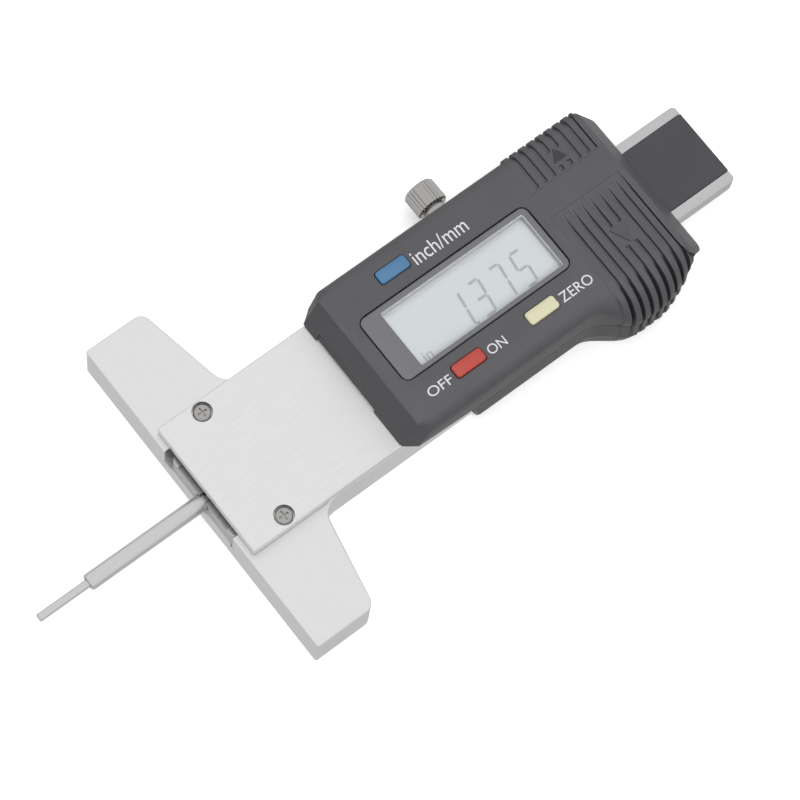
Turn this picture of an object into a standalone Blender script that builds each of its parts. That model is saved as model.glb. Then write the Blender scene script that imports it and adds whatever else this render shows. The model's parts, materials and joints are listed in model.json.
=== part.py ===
# Digital depth gauge with a T base, a sliding beam and a stepped measuring pin.
# X runs from the measuring pin to the tail, Y across the base, Z up through the display.
# Places along X are measured from the measuring face, places along Z from the base's underside.

import math

import bmesh
import bpy
from mathutils import Matrix, Vector

MM = 0.001

# Clearances and cutting
SEAT_GAP = 0.25 * MM
SMALL_GAP = 0.15 * MM
OVERRUN = 2.0 * MM
CIRCLE_STEPS = 24
SMALL_CIRCLE_STEPS = 16
CORNER_STEPS = 5
BEAM_CORNER_STEPS = 3
FLARE_STEPS = 14
RUN_UP_STEPS = 6

# Measuring base: a T with a channelled stem that runs on as the slider frame
BASE_LENGTH = 60.0 * MM
BASE_HEIGHT = 8.4 * MM
ARM_TIP_DEPTH = 11.0 * MM
ARM_ROOT_DEPTH = 14.4 * MM
ARM_FRONT_RADIUS = 0.4 * MM
ARM_BACK_RADIUS = 1.8 * MM
STEM_FILLET = 3.2 * MM
STEM_WIDTH = 24.9 * MM
STEM_END_RADIUS = 0.8 * MM
BASE_EDGE = 0.2 * MM
FRAME_END_X = 86.4 * MM
CHANNEL_DEPTH = 5.0 * MM
CHANNEL_REACH_GIB_SIDE = 9.3 * MM
CHANNEL_REACH_PLAIN_SIDE = 8.3 * MM
CHANNEL_RELIEF = 0.45 * MM

# Cover plate and its two screws
PLATE_FRONT_X = 1.0 * MM
PLATE_END_X = 31.6 * MM
PLATE_THICKNESS = 2.0 * MM
PLATE_EDGE = 0.2 * MM
PLATE_SCREW_X = 8.2 * MM
PLATE_SCREW_Y = 10.5 * MM
PLATE_SCREW_HEAD_RADIUS = 1.45 * MM
PLATE_SCREW_HEAD_HEIGHT = 0.9 * MM
PLATE_SCREW_RADIUS = 0.65 * MM
PLATE_SCREW_DEPTH = 4.5 * MM
PLATE_RECESS_DEPTH = 1.3 * MM
CROSS_SLOT_WIDTH = 0.35 * MM
CROSS_SLOT_LENGTH = 1.7 * MM
CROSS_SLOT_DEPTH = 0.45 * MM

# Measuring beam, scale strip and stepped pin
BEAM_FRONT_X = 0.4 * MM
BEAM_TAIL_X = 102.2 * MM
BEAM_WIDTH = 16.0 * MM
BEAM_THICKNESS = 3.5 * MM
BEAM_FRONT_CHAMFER = 0.7 * MM
BEAM_TAIL_CHAMFER = 0.7 * MM
BEAM_EDGE = 0.15 * MM
SCALE_WIDTH = 12.6 * MM
SCALE_GROOVE_DEPTH = 0.55 * MM
SCALE_FRONT_X = 2.4 * MM
PROBE_ROD_RADIUS = 1.4 * MM
PROBE_ROD_STEP_X = 21.6 * MM
PROBE_SOCKET_DEPTH = 1.0 * MM
PROBE_TENON_RADIUS = 0.9 * MM
PROBE_TENON_LENGTH = 5.0 * MM
PROBE_EDGE = 0.25 * MM
PIN_RADIUS = 0.7 * MM
PIN_TIP_X = 31.0 * MM
PIN_SOCKET_DEPTH = 5.0 * MM
PIN_EDGE = 0.15 * MM

# Gib strip with its adjusting screws
GIB_THICKNESS = 0.75 * MM
GIB_FRONT_X = 40.0 * MM
GIB_END_X = 84.0 * MM
GIB_SCREW_AHEAD = 10.0 * MM
GIB_SCREW_BEHIND = 14.0 * MM
GIB_SCREW_RADIUS = 0.8 * MM
GIB_SCREW_LENGTH = 2.4 * MM
GIB_SCREW_SLOT = 0.4 * MM

# Lock screw and its pressure pad
LOCK_X = 60.0 * MM
LOCK_TRAVEL = 0.5 * MM
LOCK_PAD_RADIUS = 1.3 * MM
LOCK_PAD_THICKNESS = 0.7 * MM
LOCK_THREAD_RADIUS = 1.25 * MM
LOCK_NECK_RADIUS = 1.9 * MM
LOCK_NECK_Y = 14.9 * MM
LOCK_KNOB_Y = 17.4 * MM
LOCK_KNOB_END_Y = 21.7 * MM
LOCK_KNOB_RADIUS = 2.8 * MM
LOCK_KNOB_EDGE = 0.35 * MM
LOCK_KNURL_DEPTH = 0.18 * MM
LOCK_KNURL_COUNT = 26
LOCK_NOTCH_WIDTH = 7.0 * MM
LOCK_NOTCH_DROP = 3.2 * MM

# Display housing: outline, walls and the flare where the thumb pushes
HOUSING_OVERHANG = 1.95 * MM
HOUSING_RIM_LIFT = 0.6 * MM
HOUSING_HEIGHT = 8.0 * MM
HOUSING_WALL = 1.5 * MM
HOUSING_TOP_RADIUS = 2.3 * MM
HOUSING_RIM_DRAFT = 0.25 * MM
FRONT_FOOT_X = 28.85 * MM
FRONT_LEAN = 3.35 * MM
FRONT_CORNER = 1.8 * MM
FRONT_CORNER_DEPTH = 2.2 * MM
FRONT_POCKET_RISE = 3.3 * MM
FRONT_POCKET_DEPTH = 0.35 * MM
FRONT_POCKET_REACH_GIB_SIDE = 9.4 * MM
FRONT_POCKET_REACH_PLAIN_SIDE = 5.4 * MM
TAIL_X = 89.3 * MM
TAIL_LEAN = 4.2 * MM
TAIL_CORNER = 2.0 * MM
TAIL_WALL = 1.1 * MM
FLARE_START_X = 65.5 * MM
FLARE_FULL_X = 73.5 * MM
FLARE_FALL_X = 77.5 * MM
FLARE_REACH = 4.1 * MM
FLARE_TOP_DROP = 7.6 * MM
SHOULDER_X = 43.5 * MM
SEAT_LIP_WIDTH = 0.9 * MM
SEAT_LIP_RISE = 2.4 * MM

# Covers over the battery and the data port, with their ribs
COVER_START_X = 70.4 * MM
BATTERY_COVER_Y = 1.6 * MM
PORT_COVER_Y = 7.0 * MM
COVER_WALL = 1.35 * MM
BAY_FLOOR_RISE = 0.55 * MM
RIB_PITCH = 1.74 * MM
RIB_COUNT = 9
RIB_LAND = 0.88 * MM
RIB_FLANK = 0.16 * MM
RIB_HEIGHT = 0.35 * MM
RIB_VALLEY = 0.25 * MM
RIB_INNER_MARGIN = 0.5 * MM
ARROW_LENGTH = 3.4 * MM
ARROW_WIDTH = 3.6 * MM
ARROW_RISE = 0.5 * MM
ARROW_SINK = 0.9 * MM
BATTERY_ARROW_X = 78.2 * MM
BATTERY_ARROW_Y = 5.4 * MM
PORT_ARROW_X = 77.6 * MM
PORT_ARROW_Y = 8.6 * MM

# Lower housing under the frame
LOWER_FLOOR = 1.25 * MM
LOWER_SIDE_FALL = 4.15 * MM
LOWER_FOOT_INSET = 1.0 * MM
LOWER_FRONT_RADIUS = 0.8 * MM
LOWER_FRONT_LEAN = 1.5 * MM

# Display: bezel, lens, glass, conductor strips
BEZEL_X = (34.9 * MM, 68.2 * MM)
BEZEL_HALF_WIDTH = 6.3 * MM
BEZEL_RADIUS = 1.6 * MM
BEZEL_THICKNESS = 0.75 * MM
BEZEL_SINK = 0.05 * MM
WINDOW_X = (38.75 * MM, 67.05 * MM)
WINDOW_HALF_WIDTH = 5.15 * MM
WINDOW_RADIUS = 0.35 * MM
WINDOW_CHAMFER = 0.35 * MM
LENS_MARGIN = 0.55 * MM
LENS_THICKNESS = 0.7 * MM
GLASS_X = (38.0 * MM, 67.9 * MM)
GLASS_HALF_WIDTH = 6.9 * MM
GLASS_THICKNESS = 1.1 * MM
ZEBRA_X = (40.0 * MM, 62.6 * MM)
ZEBRA_Y = 6.0 * MM
ZEBRA_WIDTH = 1.2 * MM

# Electronics
BOARD_X = (33.2 * MM, 68.4 * MM)
BOARD_HALF_WIDTH = 11.8 * MM
BOARD_THICKNESS = 1.0 * MM
PICKUP_X = (41.0 * MM, 66.0 * MM)
PICKUP_HALF_WIDTH = 7.6 * MM
PICKUP_THICKNESS = 0.8 * MM
KEYPAD_FRONT_MARGIN = 6.15 * MM
KEYPAD_END_MARGIN = 4.5 * MM
KEYPAD_END_STRIP = 0.8 * MM
KEYPAD_HALF_WIDTH = 11.7 * MM
KEYPAD_OPENING_HALF_WIDTH = 7.4 * MM
KEYPAD_THICKNESS = 0.6 * MM
DOME_RADIUS = 1.5 * MM
DOME_TOP_RADIUS = 1.0 * MM
DOME_HEIGHT = 1.3 * MM

# Push buttons
BUTTON_LENGTH = 5.7 * MM
BUTTON_WIDTH = 2.3 * MM
BUTTON_RADIUS = 0.6 * MM
BUTTON_EDGE = 0.3 * MM
BUTTON_RISE = 0.55 * MM
BUTTON_TRAVEL = 0.5 * MM
BUTTON_FLANGE = 0.6 * MM
BUTTON_FLANGE_THICKNESS = 0.6 * MM
BUTTON_STEM_RADIUS = 0.8 * MM
BUTTON_FRONT_X = 44.75 * MM
BUTTON_SPACING = 14.65 * MM
BUTTON_ROW_GIB_SIDE = 9.85 * MM
BUTTON_ROW_PLAIN_SIDE = 9.45 * MM

# Battery, contacts and data port
CELL_X = 78.6 * MM
CELL_Y = -5.3 * MM
CELL_RADIUS = 5.8 * MM
CELL_HEIGHT = 5.2 * MM
CELL_CAP_RADIUS = 4.3 * MM
CELL_CAP_HEIGHT = 0.35 * MM
CELL_EDGE = 0.4 * MM
CONTACT_THICKNESS = 0.2 * MM
CONTACT_WIDTH = 3.0 * MM
CONTACT_LENGTH = 8.0 * MM
CONTACT_RISE = 4.65 * MM
CONTACT_FOOT = 1.6 * MM
PORT_X = (73.0 * MM, 85.0 * MM)
PORT_Y = (8.0 * MM, 11.8 * MM)
PORT_HEIGHT = 3.0 * MM
PORT_CONTACT_COUNT = 4
PORT_CONTACT_WIDTH = 1.0 * MM
PORT_CONTACT_DEPTH = 0.3 * MM

# Housing screws
HOUSING_SCREW_X = (35.6 * MM, 66.3 * MM)
HOUSING_SCREW_Y = 10.6 * MM
HOUSING_SCREW_RADIUS = 0.75 * MM
HOUSING_SCREW_HEADROOM = 2.4 * MM
HOUSING_SCREW_HEAD_RADIUS = 1.35 * MM
HOUSING_SCREW_HEAD_HEIGHT = 0.6 * MM
HOUSING_SCREW_SINK = 0.15 * MM
BOSS_RADIUS = 1.75 * MM

# Places that follow from the sizes above
ORIGIN_SHIFT_X = (PIN_TIP_X - BEAM_TAIL_X) / 2
BASE_HALF = BASE_LENGTH / 2
STEM_HALF = STEM_WIDTH / 2
HOUSING_HALF_WIDTH = STEM_HALF + HOUSING_OVERHANG
BEAM_HALF = BEAM_WIDTH / 2
CHANNEL_FLOOR_Z = BASE_HEIGHT - CHANNEL_DEPTH
HOUSING_RIM_Z = BASE_HEIGHT + HOUSING_RIM_LIFT
HOUSING_TOP_Z = HOUSING_RIM_Z + HOUSING_HEIGHT
FRONT_POCKET_TOP_Z = HOUSING_RIM_Z + FRONT_POCKET_RISE
SEAT_LIP_TOP_Z = HOUSING_RIM_Z + SEAT_LIP_RISE
BAY_FLOOR_Z = HOUSING_RIM_Z + BAY_FLOOR_RISE
CONTACT_TOP_Z = BAY_FLOOR_Z + CONTACT_RISE
HOUSING_SCREW_TOP_Z = HOUSING_TOP_Z - HOUSING_SCREW_HEADROOM
BEAM_Z = CHANNEL_FLOOR_Z + SEAT_GAP
BEAM_TOP_Z = BEAM_Z + BEAM_THICKNESS
GROOVE_Z = BEAM_TOP_Z - SCALE_GROOVE_DEPTH
PROBE_Z = BEAM_Z + PROBE_ROD_RADIUS + SEAT_GAP
PLATE_Z = BASE_HEIGHT + SMALL_GAP
PLATE_TOP_Z = PLATE_Z + PLATE_THICKNESS
LOWER_TOP_Z = HOUSING_RIM_Z - SEAT_GAP
LOWER_SIDE_FOOT_Z = LOWER_TOP_Z - LOWER_SIDE_FALL
FRAME_RELIEF_Z = LOWER_FLOOR + SEAT_GAP
BOARD_Z = BASE_HEIGHT + SEAT_GAP
BOARD_TOP_Z = BOARD_Z + BOARD_THICKNESS
CEILING_Z = HOUSING_TOP_Z - HOUSING_WALL
COVER_END_X = TAIL_X - TAIL_WALL
BOSS_Z = BOARD_TOP_Z + SEAT_GAP
LENS_Z = HOUSING_TOP_Z - BEZEL_SINK - BEZEL_THICKNESS - SEAT_GAP - LENS_THICKNESS
GLASS_Z = LENS_Z - SEAT_GAP - GLASS_THICKNESS
GIB_Y = BEAM_HALF + SEAT_GAP
LOCK_Z = BEAM_Z + BEAM_THICKNESS / 2
LOCK_NOTCH_FLOOR_Z = LOCK_Z - LOCK_NOTCH_DROP
LOCK_PAD_Y = GIB_Y + GIB_THICKNESS + SEAT_GAP + LOCK_TRAVEL
GIB_SCREW_X = (LOCK_X - GIB_SCREW_AHEAD, LOCK_X + GIB_SCREW_BEHIND)
BUTTON_PLACES = {
    "inch_mm_button": (BUTTON_FRONT_X, BUTTON_ROW_GIB_SIDE),
    "power_button": (BUTTON_FRONT_X, -BUTTON_ROW_PLAIN_SIDE),
    "zero_button": (BUTTON_FRONT_X + BUTTON_SPACING, -BUTTON_ROW_PLAIN_SIDE),
}
KEYPAD_X = (BUTTON_FRONT_X - KEYPAD_FRONT_MARGIN, BUTTON_FRONT_X + BUTTON_SPACING + KEYPAD_END_MARGIN)
KEYPAD_OPENING_X = (KEYPAD_X[0] + KEYPAD_END_STRIP, KEYPAD_X[1] - KEYPAD_END_STRIP)

COLOURS = {
    "ground_steel": ((0.62, 0.62, 0.64), 0.32, 1.0),
    "brushed_steel": ((0.68, 0.68, 0.69), 0.38, 1.0),
    "beam_steel": ((0.55, 0.55, 0.56), 0.30, 1.0),
    "scale_film": ((0.085, 0.083, 0.090), 0.55, 0.0),
    "brass": ((0.62, 0.45, 0.18), 0.35, 1.0),
    "nickel": ((0.50, 0.49, 0.47), 0.33, 1.0),
    "housing_plastic": ((0.115, 0.113, 0.122), 0.52, 0.0),
    "bezel_plastic": ((0.180, 0.178, 0.190), 0.38, 0.0),
    "clear_plastic": ((0.80, 0.84, 0.84), 0.06, 0.0),
    "lcd_glass": ((0.62, 0.67, 0.67), 0.20, 0.0),
    "rubber": ((0.05, 0.05, 0.05), 0.80, 0.0),
    "keypad_rubber": ((0.40, 0.40, 0.38), 0.75, 0.0),
    "board_green": ((0.03, 0.16, 0.07), 0.45, 0.0),
    "blue_plastic": ((0.088, 0.280, 0.490), 0.45, 0.0),
    "red_plastic": ((0.580, 0.060, 0.055), 0.45, 0.0),
    "yellow_plastic": ((0.740, 0.720, 0.360), 0.45, 0.0),
    "cell_steel": ((0.70, 0.69, 0.66), 0.25, 1.0),
}


def clear_scene():
    for item in list(bpy.data.objects):
        bpy.data.objects.remove(item, do_unlink=True)


def material(name):
    found = bpy.data.materials.get(name)
    if found:
        return found
    colour, roughness, metallic = COLOURS[name]
    made = bpy.data.materials.new(name)
    made.use_nodes = True
    shader = made.node_tree.nodes["Principled BSDF"]
    shader.inputs["Base Color"].default_value = (*colour, 1.0)
    shader.inputs["Roughness"].default_value = roughness
    shader.inputs["Metallic"].default_value = metallic
    return made


def add_object(name, points, faces, colour, parent=None, smooth=False):
    mesh = bpy.data.meshes.new(name)
    mesh.from_pydata([tuple(p) for p in points], [], faces)
    body = bmesh.new()
    body.from_mesh(mesh)
    bmesh.ops.recalc_face_normals(body, faces=body.faces)
    body.to_mesh(mesh)
    body.free()
    if smooth:
        mesh.shade_smooth()
        mesh.set_sharp_from_angle(angle=math.radians(35))
    item = bpy.data.objects.new(name, mesh)
    bpy.context.collection.objects.link(item)
    if colour:
        mesh.materials.append(material(colour))
    if parent:
        item.parent = parent
    return item


def add_empty(name, place, parent=None):
    item = bpy.data.objects.new(name, None)
    item.location = place
    bpy.context.collection.objects.link(item)
    if parent:
        item.parent = parent
    return item


# Every shape below is a stack of rings with the same number of points, closed at both ends

def loft(rings):
    count = len(rings[0])
    points = [p for ring in rings for p in ring]
    faces = [tuple(range(count)), tuple(range(len(points) - count, len(points)))]
    for row in range(len(rings) - 1):
        for i in range(count):
            j = (i + 1) % count
            a, b = row * count, (row + 1) * count
            faces.append((a + i, a + j, b + j, b + i))
    return points, faces


def joined(shapes):
    points, faces = [], []
    for shape_points, shape_faces in shapes:
        start = len(points)
        points += list(shape_points)
        faces += [tuple(i + start for i in face) for face in shape_faces]
    return points, faces


def rounded_outline(corners, steps=CORNER_STEPS):
    """Outline through (x, y, radius) corners, each turned into an arc of its radius."""
    outline = []
    for index, (x, y, radius) in enumerate(corners):
        here = Vector((x, y))
        before = Vector(corners[index - 1][:2]) - here
        after = Vector(corners[(index + 1) % len(corners)][:2]) - here
        if radius <= 0:
            outline.append((x, y))
            continue
        half = before.angle(after) / 2
        reach = radius / math.tan(half)
        centre = here + (before.normalized() + after.normalized()).normalized() * radius / math.sin(half)
        start = here + before.normalized() * reach - centre
        end = here + after.normalized() * reach - centre
        turn = start.angle_signed(end)
        for step in range(steps + 1):
            spoke = start.copy()
            spoke.rotate(Matrix.Rotation(-turn * step / steps, 2))
            outline.append(tuple(centre + spoke))
    return outline


def rounded_box_outline(x_range, y_range, radius):
    x0, x1 = x_range
    y0, y1 = y_range
    return rounded_outline([(x0, y0, radius), (x1, y0, radius), (x1, y1, radius), (x0, y1, radius)])


def inset_outline(outline, distance):
    """Outline moved inwards by a distance, each corner along its mitre."""
    area = sum(a[0] * b[1] - b[0] * a[1] for a, b in zip(outline, outline[1:] + outline[:1]))
    side = 1 if area > 0 else -1
    moved = []
    for index, point in enumerate(outline):
        here = Vector(point)
        back = (here - Vector(outline[index - 1])).normalized()
        ahead = (Vector(outline[(index + 1) % len(outline)]) - here).normalized()
        normal_back = Vector((-back.y, back.x)) * side
        normal_ahead = Vector((-ahead.y, ahead.x)) * side
        mitre = (normal_back + normal_ahead).normalized()
        moved.append(tuple(here + mitre * distance / max(mitre.dot(normal_back), 0.5)))
    return moved


def prism(outline, z0, z1, edge_top=0, edge_bottom=0):
    """Upright prism over an outline, with chamfered top and bottom edges."""
    def ring(inset, z):
        flat = inset_outline(outline, inset) if inset else outline
        return [(x, y, z) for x, y in flat]
    rings = [ring(edge_bottom, z0)]
    if edge_bottom:
        rings.append(ring(0, z0 + edge_bottom))
    if edge_top:
        rings.append(ring(0, z1 - edge_top))
    rings.append(ring(edge_top, z1))
    return loft(rings)


def block(x_range, y_range, z_range):
    x0, x1 = x_range
    y0, y1 = y_range
    return prism([(x0, y0), (x1, y0), (x1, y1), (x0, y1)], *z_range)


def turned(profile, centre, axis, steps=CIRCLE_STEPS):
    """Solid of revolution: profile of (radius, distance along the axis) from end to end."""
    frames = {"X": (Vector((0, 1, 0)), Vector((0, 0, 1)), Vector((1, 0, 0))),
              "Y": (Vector((0, 0, 1)), Vector((1, 0, 0)), Vector((0, 1, 0))),
              "Z": (Vector((1, 0, 0)), Vector((0, 1, 0)), Vector((0, 0, 1)))}
    across, up, along = frames[axis]
    rings = []
    for radius, distance in profile:
        turns = [2 * math.pi * i / steps for i in range(steps)]
        rings.append([Vector(centre) + along * distance + (across * math.cos(t) + up * math.sin(t)) * radius
                      for t in turns])
    return loft(rings)


def cylinder(radius, start, end, centre, axis, steps=CIRCLE_STEPS):
    return turned([(radius, start), (radius, end)], centre, axis, steps)


def cut(item, name, shape, operation="DIFFERENCE"):
    """Boolean with a hidden tool that shares the piece's parent and place."""
    tool = add_object(name, *shape, None, item.parent)
    tool.matrix_basis = item.matrix_basis
    tool.hide_render = True
    tool.display_type = "WIRE"
    change = item.modifiers.new(name, "BOOLEAN")
    change.operation = operation
    change.solver = "EXACT"
    change.object = tool


# Measuring base

def base_outline():
    corners = [
        (0, BASE_HALF, ARM_FRONT_RADIUS),
        (0, -BASE_HALF, ARM_FRONT_RADIUS),
        (ARM_TIP_DEPTH, -BASE_HALF, ARM_BACK_RADIUS),
        (ARM_ROOT_DEPTH, -STEM_HALF, STEM_FILLET),
        (FRAME_END_X, -STEM_HALF, STEM_END_RADIUS),
        (FRAME_END_X, STEM_HALF, STEM_END_RADIUS),
        (ARM_ROOT_DEPTH, STEM_HALF, STEM_FILLET),
        (ARM_TIP_DEPTH, BASE_HALF, ARM_BACK_RADIUS),
    ]
    return rounded_outline(corners)


def make_base(root):
    base = add_object("measuring_base", *prism(base_outline(), 0, BASE_HEIGHT, BASE_EDGE, BASE_EDGE),
                      "ground_steel", root)
    channel = block((-OVERRUN, FRAME_END_X + OVERRUN), (-CHANNEL_REACH_PLAIN_SIDE, CHANNEL_REACH_GIB_SIDE),
                    (CHANNEL_FLOOR_Z, BASE_HEIGHT + OVERRUN))
    cut(base, "beam_channel_cut", channel)
    groove = block((-OVERRUN, FRAME_END_X + OVERRUN),
                   (-CHANNEL_REACH_PLAIN_SIDE - CHANNEL_RELIEF, -CHANNEL_REACH_PLAIN_SIDE + CHANNEL_RELIEF),
                   (CHANNEL_FLOOR_Z - CHANNEL_RELIEF, CHANNEL_FLOOR_Z + CHANNEL_RELIEF))
    cut(base, "corner_relief_cut", groove)
    relief = block((lower_front_x(LOWER_FLOOR) - SEAT_GAP, FRAME_END_X + OVERRUN),
                   (-STEM_HALF - OVERRUN, STEM_HALF + OVERRUN), (-OVERRUN, FRAME_RELIEF_Z))
    cut(base, "underside_relief_cut", relief)
    bores = []
    for side in (-1, 1):
        bores.append(cylinder(PLATE_SCREW_RADIUS + SMALL_GAP, BASE_HEIGHT - PLATE_SCREW_DEPTH,
                              BASE_HEIGHT + OVERRUN, (PLATE_SCREW_X, side * PLATE_SCREW_Y, 0), "Z",
                              SMALL_CIRCLE_STEPS))
        for x in HOUSING_SCREW_X:
            bores.append(cylinder(HOUSING_SCREW_RADIUS + SEAT_GAP, -OVERRUN, BASE_HEIGHT + OVERRUN,
                                  (x, side * HOUSING_SCREW_Y, 0), "Z", SMALL_CIRCLE_STEPS))
    for x in GIB_SCREW_X:
        bores.append(cylinder(GIB_SCREW_RADIUS + SEAT_GAP, CHANNEL_REACH_GIB_SIDE - OVERRUN,
                              STEM_HALF + OVERRUN, (x, 0, LOCK_Z), "Y", SMALL_CIRCLE_STEPS))
    bores.append(cylinder(LOCK_PAD_RADIUS + SEAT_GAP, CHANNEL_REACH_GIB_SIDE - OVERRUN,
                          STEM_HALF + OVERRUN, (LOCK_X, 0, LOCK_Z), "Y", SMALL_CIRCLE_STEPS))
    cut(base, "base_bores", joined(bores))
    counterbores = [cylinder(HOUSING_SCREW_HEAD_RADIUS + SEAT_GAP, -OVERRUN,
                             HOUSING_SCREW_SINK + HOUSING_SCREW_HEAD_HEIGHT + SEAT_GAP,
                             (HOUSING_SCREW_X[0], side * HOUSING_SCREW_Y, 0), "Z", SMALL_CIRCLE_STEPS)
                    for side in (-1, 1)]
    cut(base, "base_counterbores", joined(counterbores))


def make_cover_plate(root):
    outline = rounded_box_outline((PLATE_FRONT_X, PLATE_END_X), (-STEM_HALF, STEM_HALF), PLATE_EDGE)
    sheet = prism(outline, PLATE_Z, PLATE_TOP_Z, PLATE_EDGE)
    plate = add_object("cover_plate", *sheet, "brushed_steel", root)
    holes, recesses = [], []
    for side in (-1, 1):
        centre = (PLATE_SCREW_X, side * PLATE_SCREW_Y, 0)
        holes.append(cylinder(PLATE_SCREW_RADIUS + SMALL_GAP, PLATE_Z - OVERRUN, PLATE_TOP_Z + OVERRUN,
                              centre, "Z", SMALL_CIRCLE_STEPS))
        recesses.append(cylinder(PLATE_SCREW_HEAD_RADIUS + SEAT_GAP, PLATE_TOP_Z - PLATE_RECESS_DEPTH,
                                 PLATE_TOP_Z + OVERRUN, centre, "Z"))
    cut(plate, "plate_screw_holes", joined(holes))
    cut(plate, "plate_recesses", joined(recesses))


def cross_slot(centre, z0, z1):
    half, width = CROSS_SLOT_LENGTH / 2, CROSS_SLOT_WIDTH / 2
    x, y = centre
    corners = []
    for quarter in range(4):
        turn = Matrix.Rotation(quarter * math.pi / 2, 2)
        for px, py in ((half, -width), (half, width), (width, width)):
            spot = turn @ Vector((px, py))
            corners.append((x + spot.x, y + spot.y))
    return prism(corners, z0, z1)


def add_screw(name, profile, place, slot_z0, slot_z1, root):
    """Screw turned about its own axis, with a cross slot between two heights."""
    shank = turned(profile, (0, 0, 0), "Z", SMALL_CIRCLE_STEPS)
    screw = add_object(name, *shank, "nickel", root, smooth=True)
    screw.location = place
    cut(screw, name + "_slot", cross_slot((0, 0), slot_z0, slot_z1))


def make_plate_screws(root):
    seat_z = PLATE_TOP_Z - PLATE_RECESS_DEPTH + SMALL_GAP
    head_z = seat_z + PLATE_SCREW_HEAD_HEIGHT
    profile = [(PLATE_SCREW_RADIUS, BASE_HEIGHT - PLATE_SCREW_DEPTH + SEAT_GAP), (PLATE_SCREW_RADIUS, seat_z),
               (PLATE_SCREW_HEAD_RADIUS, seat_z), (PLATE_SCREW_HEAD_RADIUS, head_z - PLATE_EDGE),
               (PLATE_SCREW_HEAD_RADIUS - PLATE_EDGE, head_z)]
    for number, side in enumerate((1, -1), 1):
        add_screw(f"cover_plate_screw_{number}", profile, (PLATE_SCREW_X, side * PLATE_SCREW_Y, 0),
                  head_z - CROSS_SLOT_DEPTH, head_z + OVERRUN, root)


# Sliding beam with its scale strip and stepped pin

def make_beam(carrier):
    corners = [(BEAM_FRONT_X, -BEAM_HALF), (BEAM_TAIL_X, -BEAM_HALF), (BEAM_TAIL_X, BEAM_HALF),
               (BEAM_FRONT_X, BEAM_HALF)]
    chamfers = (BEAM_FRONT_CHAMFER, BEAM_TAIL_CHAMFER, BEAM_TAIL_CHAMFER, BEAM_FRONT_CHAMFER)
    outline = rounded_outline([(x, y, size) for (x, y), size in zip(corners, chamfers)],
                              BEAM_CORNER_STEPS)
    beam = add_object("measuring_beam", *prism(outline, BEAM_Z, BEAM_TOP_Z, BEAM_EDGE, BEAM_EDGE),
                      "beam_steel", carrier)
    groove = block((BEAM_FRONT_X - OVERRUN, BEAM_TAIL_X + OVERRUN), (-SCALE_WIDTH / 2, SCALE_WIDTH / 2),
                   (GROOVE_Z, BEAM_TOP_Z + OVERRUN))
    cut(beam, "scale_groove", groove)
    socket_end = BEAM_FRONT_X + PROBE_SOCKET_DEPTH
    socket = turned([(PROBE_ROD_RADIUS + SMALL_GAP, BEAM_FRONT_X - OVERRUN),
                     (PROBE_ROD_RADIUS + SMALL_GAP, socket_end),
                     (PROBE_TENON_RADIUS + SMALL_GAP, socket_end),
                     (PROBE_TENON_RADIUS + SMALL_GAP, socket_end + PROBE_TENON_LENGTH + SEAT_GAP)],
                    (0, 0, PROBE_Z), "X")
    cut(beam, "probe_socket", socket)

    strip_y = SCALE_WIDTH / 2 - SMALL_GAP
    strip = block((SCALE_FRONT_X, BEAM_TAIL_X), (-strip_y, strip_y),
                  (GROOVE_Z + SMALL_GAP, BEAM_TOP_Z))
    add_object("scale_strip", *strip, "scale_film", carrier)

    root_x = socket_end - SEAT_GAP
    rod = [(PROBE_ROD_RADIUS - PROBE_EDGE, -PROBE_ROD_STEP_X),
           (PROBE_ROD_RADIUS, PROBE_EDGE - PROBE_ROD_STEP_X),
           (PROBE_ROD_RADIUS, root_x), (PROBE_TENON_RADIUS, root_x),
           (PROBE_TENON_RADIUS, root_x + PROBE_TENON_LENGTH)]
    probe = add_object("probe_rod", *turned(rod, (0, 0, PROBE_Z), "X"), "ground_steel", carrier, smooth=True)
    cut(probe, "pin_bore", cylinder(PIN_RADIUS + SMALL_GAP, -PROBE_ROD_STEP_X - OVERRUN,
                                    -PROBE_ROD_STEP_X + PIN_SOCKET_DEPTH, (0, 0, PROBE_Z), "X",
                                    SMALL_CIRCLE_STEPS))
    pin = [(PIN_RADIUS - PIN_EDGE, -PIN_TIP_X), (PIN_RADIUS, PIN_EDGE - PIN_TIP_X),
           (PIN_RADIUS, PIN_SOCKET_DEPTH - SEAT_GAP - PROBE_ROD_STEP_X)]
    add_object("probe_pin", *turned(pin, (0, 0, PROBE_Z), "X", SMALL_CIRCLE_STEPS), "ground_steel", carrier,
               smooth=True)


def make_gib(root):
    gib = block((GIB_FRONT_X, GIB_END_X), (GIB_Y, GIB_Y + GIB_THICKNESS), (BEAM_Z, BEAM_TOP_Z))
    add_object("gib_strip", *gib, "brass", root)
    start = CHANNEL_REACH_GIB_SIDE + SMALL_GAP
    reach = GIB_SCREW_RADIUS + OVERRUN
    for number, x in enumerate(GIB_SCREW_X, 1):
        grub = cylinder(GIB_SCREW_RADIUS, 0, GIB_SCREW_LENGTH, (0, 0, 0), "Y", SMALL_CIRCLE_STEPS)
        screw = add_object(f"gib_screw_{number}", *grub, "nickel", root, smooth=True)
        screw.location = (x, start, LOCK_Z)
        cut(screw, f"gib_screw_{number}_slot",
            block((-reach, reach), (GIB_SCREW_LENGTH - GIB_SCREW_SLOT, GIB_SCREW_LENGTH + OVERRUN),
                  (-GIB_SCREW_SLOT / 2, GIB_SCREW_SLOT / 2)))


def knurled_ring(radius, depth, y):
    """Ring of sharp knurl teeth round the lock screw's axis."""
    points = []
    for step in range(LOCK_KNURL_COUNT * 2):
        turn = math.pi * step / LOCK_KNURL_COUNT
        reach = radius - (depth if step % 2 else 0)
        points.append((reach * math.sin(turn), y, reach * math.cos(turn)))
    return points


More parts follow.
